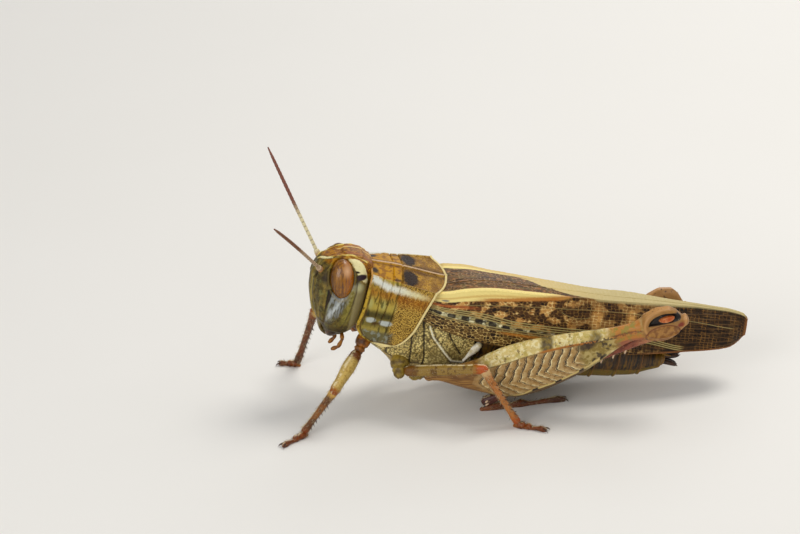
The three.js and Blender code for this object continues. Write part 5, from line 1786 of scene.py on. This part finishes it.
def make_thigh(word, finish):
    hip, axis, dorsal, across = hind_frame(word)
    side = SIDES[word]
    s = np.concatenate([[0.0], spaced(0.0, THIGH_LENGTH, steps(380), 0.75)[1:]])
    path = hip + np.outer(s, axis)
    above, below, half = thigh_above(s), thigh_below(s), thigh_half(s)
    points, _, _ = limb(path, dorsal, above, below, half, steps(200), 2.3, side * thigh_sway(s), caps=7)
    place = points - hip
    s, h, b = place @ axis, place @ dorsal, place @ across
    fields = thigh_fields(s, h, -side * b)
    height = thigh_height(fields)
    edge = 0.1 * ridge(b, 0.09) * blend(s, 2, 5) * blend(s, 17.5, 16)
    height = height * blend(np.abs(b - side * thigh_sway(s)), 0.08, 0.3)
    height = height + edge * (h > 0) + 0.6 * edge * (h < 0)
    high = h - upper_keel(s)
    local = np.stack([s, h, b], -1)
    points = lifted(points, height, around=True)
    form = Form()
    fields = {name: field for name, field in fields.items() if name not in ("s", "h")}
    form.tube(from_standing(points), spot=local, high=high, **fields)
    piece(f"femur_hind_{word}", form, finish, "femur_tan", f"femur_hind_{word}")
    beds.append((from_standing(points)[::3, ::3], 0.35))


thigh_skin = thigh_finish()
for word in SIDES:
    make_thigh(word, thigh_skin)

# %% Hind shins, spines and feet
hind_shin = leg_finish("hind_shin", "8a5140", "6a3a2c", "b07a5c", "4a2620", 2.6)
hind_foot = leg_finish("hind_foot", "6b3f2a", "4a2a1c", "7f4f34", "4a2a1c")
spine_finish = Finish("spine_horn", Specular_IOR_Level=0.5)
black_tip = spine_finish.ramp(spine_finish.read("tip"), 0.4, 0.62)
spine_finish.surface(spine_finish.mix("d9b894", "1a100b", black_tip), 0.3, spine_finish.noise(9), 0.002)
hind_shin_size = through((0, 0.4), (0.05, 0.46), (0.14, 0.38), (0.5, 0.32), (0.9, 0.34), (1, 0.42))

for word in SIDES:
    hip, axis, dorsal, across = hind_frame(word)
    *_, heel, toe = HIND_POSE[word]
    pivot = hip + axis * KNEE_PIVOT[0] + dorsal * KNEE_PIVOT[1]
    middle = (pivot + heel) / 2 - dorsal * 0.12
    path = bent(pivot, middle, heel, steps(220))
    t = np.linspace(0, 1, len(path))
    size = hind_shin_size(t)
    points, along, turn = limb(path, dorsal, size, size, size * 0.85, sides=steps(44), caps=7)
    form = leg_joint(points, along, turn, 1.2)
    piece(f"tibia_hind_{word}", form, hind_shin, "tibia_pink", f"tibia_hind_{word}")

    form = Form()
    run = unit(np.array(heel) - pivot)
    for row in (-1, 1):
        for k in range(HIND_SHIN_SPINES):
            at = 0.2 + 0.07 * k
            out = unit(-dorsal + across * row * 0.75 + run * 0.75)
            middle = path[round(at * (len(path) - 1))]
            root = middle + unit(-dorsal + across * row * 0.8) * hind_shin_size(at) * 0.75
            length = min(0.62, 1.2 * root[2] - 0.05)
            spike(form, from_standing(root), out, max(length, 0.2), 0.085, sides=9, rings=6, spot=[0, 0, k])
        for k, length in ((0, 0.55), (1, 0.42)):
            root = np.array(heel) - run * 0.1 + across * row * 0.28 - dorsal * (0.05 - 0.25 * k)
            spike(form, from_standing(root), unit(run + across * row * 0.5 - dorsal * 0.1), length, 0.09,
                  sides=9, rings=6, spot=[0, 0, k])
    piece(f"spines_hind_{word}", form, spine_finish, "dark_horn")

    foot(f"hind_{word}", heel, toe, 0.34, hind_foot, "tibia_pink")

# %% [markdown]
# ## Hairs
# Short fine hairs stand on the legs and feet. The head, saddle and trunk are left bare: their hairs are
# too fine to show at this size. Particle hair would not survive an export, so each hair is a slim
# three-sided cone of real mesh, and all of them are joined into one piece. Its map gives each hair a
# tiny patch at its root's place on an unrolled skin: every bed of skin is a strip, laid out by the
# distance along the limb and the turn round it.

# %% Grow the hairs
HAIR_RINGS = 4
HAIR_PATCH = 0.003  # width of each hair's patch on the map
FLOOR_MARGIN = 0.04  # millimetres: a hair that would reach lower than this is left out


def grow_hairs(name, beds, finish, per_bed, length, radius, seed):
    rng = np.random.default_rng(seed)
    points, faces, maps = [], [], []
    for row, (skin, thickness) in enumerate(beds):
        count = round(per_bed * thickness * DETAIL)
        outward = normals(skin, around=True)
        i = rng.integers(2, len(skin) - 3, count)
        j = rng.integers(0, skin.shape[1], count)
        root, out = skin[i, j], outward[i, j]
        run = unit(skin[i + 1, j] - skin[i - 1, j])
        lean = unit(out + run * rng.uniform(0.4, 1.1, (count, 1)) + rng.normal(0, 0.18, (count, 3)))
        size = length * rng.uniform(0.55, 1.1, count)
        tip_height = root[:, 2] + (lean[:, 2] + 0.2 * run[:, 2]) * size
        tall_enough = np.minimum(root[:, 2], tip_height) > FLOOR_MARGIN
        root, out, lean, size, run, i, j = (each[tall_enough] for each in (root, out, lean, size, run, i, j))
        across = unit(np.cross(lean, out + 0.01))
        beside = np.cross(lean, across)
        t = np.linspace(0, 1, HAIR_RINGS)
        spine = root[:, None] - out[:, None] * 0.02 + lean[:, None] * (size[:, None] * t)[..., None]
        spine = spine + run[:, None] * (0.2 * size[:, None] * t**2)[..., None]
        turn = np.arange(3) * 2 * math.pi / 3
        ring = across[:, None, None] * np.cos(turn)[:, None] + beside[:, None, None] * np.sin(turn)[:, None]
        thick = radius * (1 - 0.92 * t)
        block = spine[:, :, None] + ring * thick[None, :, None, None]
        start = sum(len(p) for p in points)
        number = start + np.arange(block.size // 3).reshape(len(root), HAIR_RINGS, 3)
        left, right = number, np.roll(number, -1, 2)
        faces.append(np.stack([left[:, :-1], right[:, :-1], right[:, 1:], left[:, 1:]], -1).reshape(-1, 4))
        u = i / len(skin)
        v = (row + 0.05 + 0.9 * j / skin.shape[1]) / len(beds)
        along = u[:, None, None] + HAIR_PATCH * t[:, None]
        round_it = v[:, None, None] + HAIR_PATCH * turn / (2 * math.pi)
        place = np.stack(np.broadcast_arrays(along, round_it), -1)
        points.append(block.reshape(-1, 3))
        maps.append(place.reshape(-1, 2))
    points, maps = np.concatenate(points), np.concatenate(maps)
    quads = np.concatenate(faces)
    ends = np.arange(len(points)).reshape(-1, HAIR_RINGS, 3)
    caps = np.concatenate([ends[:, 0, ::-1], ends[:, -1]])
    mesh = bpy.data.meshes.new(name)
    mesh.from_pydata((points * MM).tolist(), [], quads.tolist() + caps.tolist())
    layer = mesh.uv_layers.new(name="OFBake")
    corner = np.empty(len(mesh.loops), dtype=np.int32)
    mesh.loops.foreach_get("vertex_index", corner)
    layer.data.foreach_set("uv", maps[corner].ravel())
    spots = mesh.attributes.new("spot", "FLOAT_VECTOR", "POINT")
    spots.data.foreach_set("vector", points.ravel())
    on_frame(name, mesh, finish)
    print(f"{name}: {len(ends)} hairs, {len(quads) * 2 + len(caps)} triangles")


hair_finish = Finish("hair_fine")
pale_hair = hair_finish.patchy(3, 0.42, 0.6)
hair_finish.surface(hair_finish.mix("cdbb90", "6b4c2c", pale_hair), 0.5)
grow_hairs("hairs_legs", beds, hair_finish, per_bed=330, length=0.26, radius=0.011, seed=41)
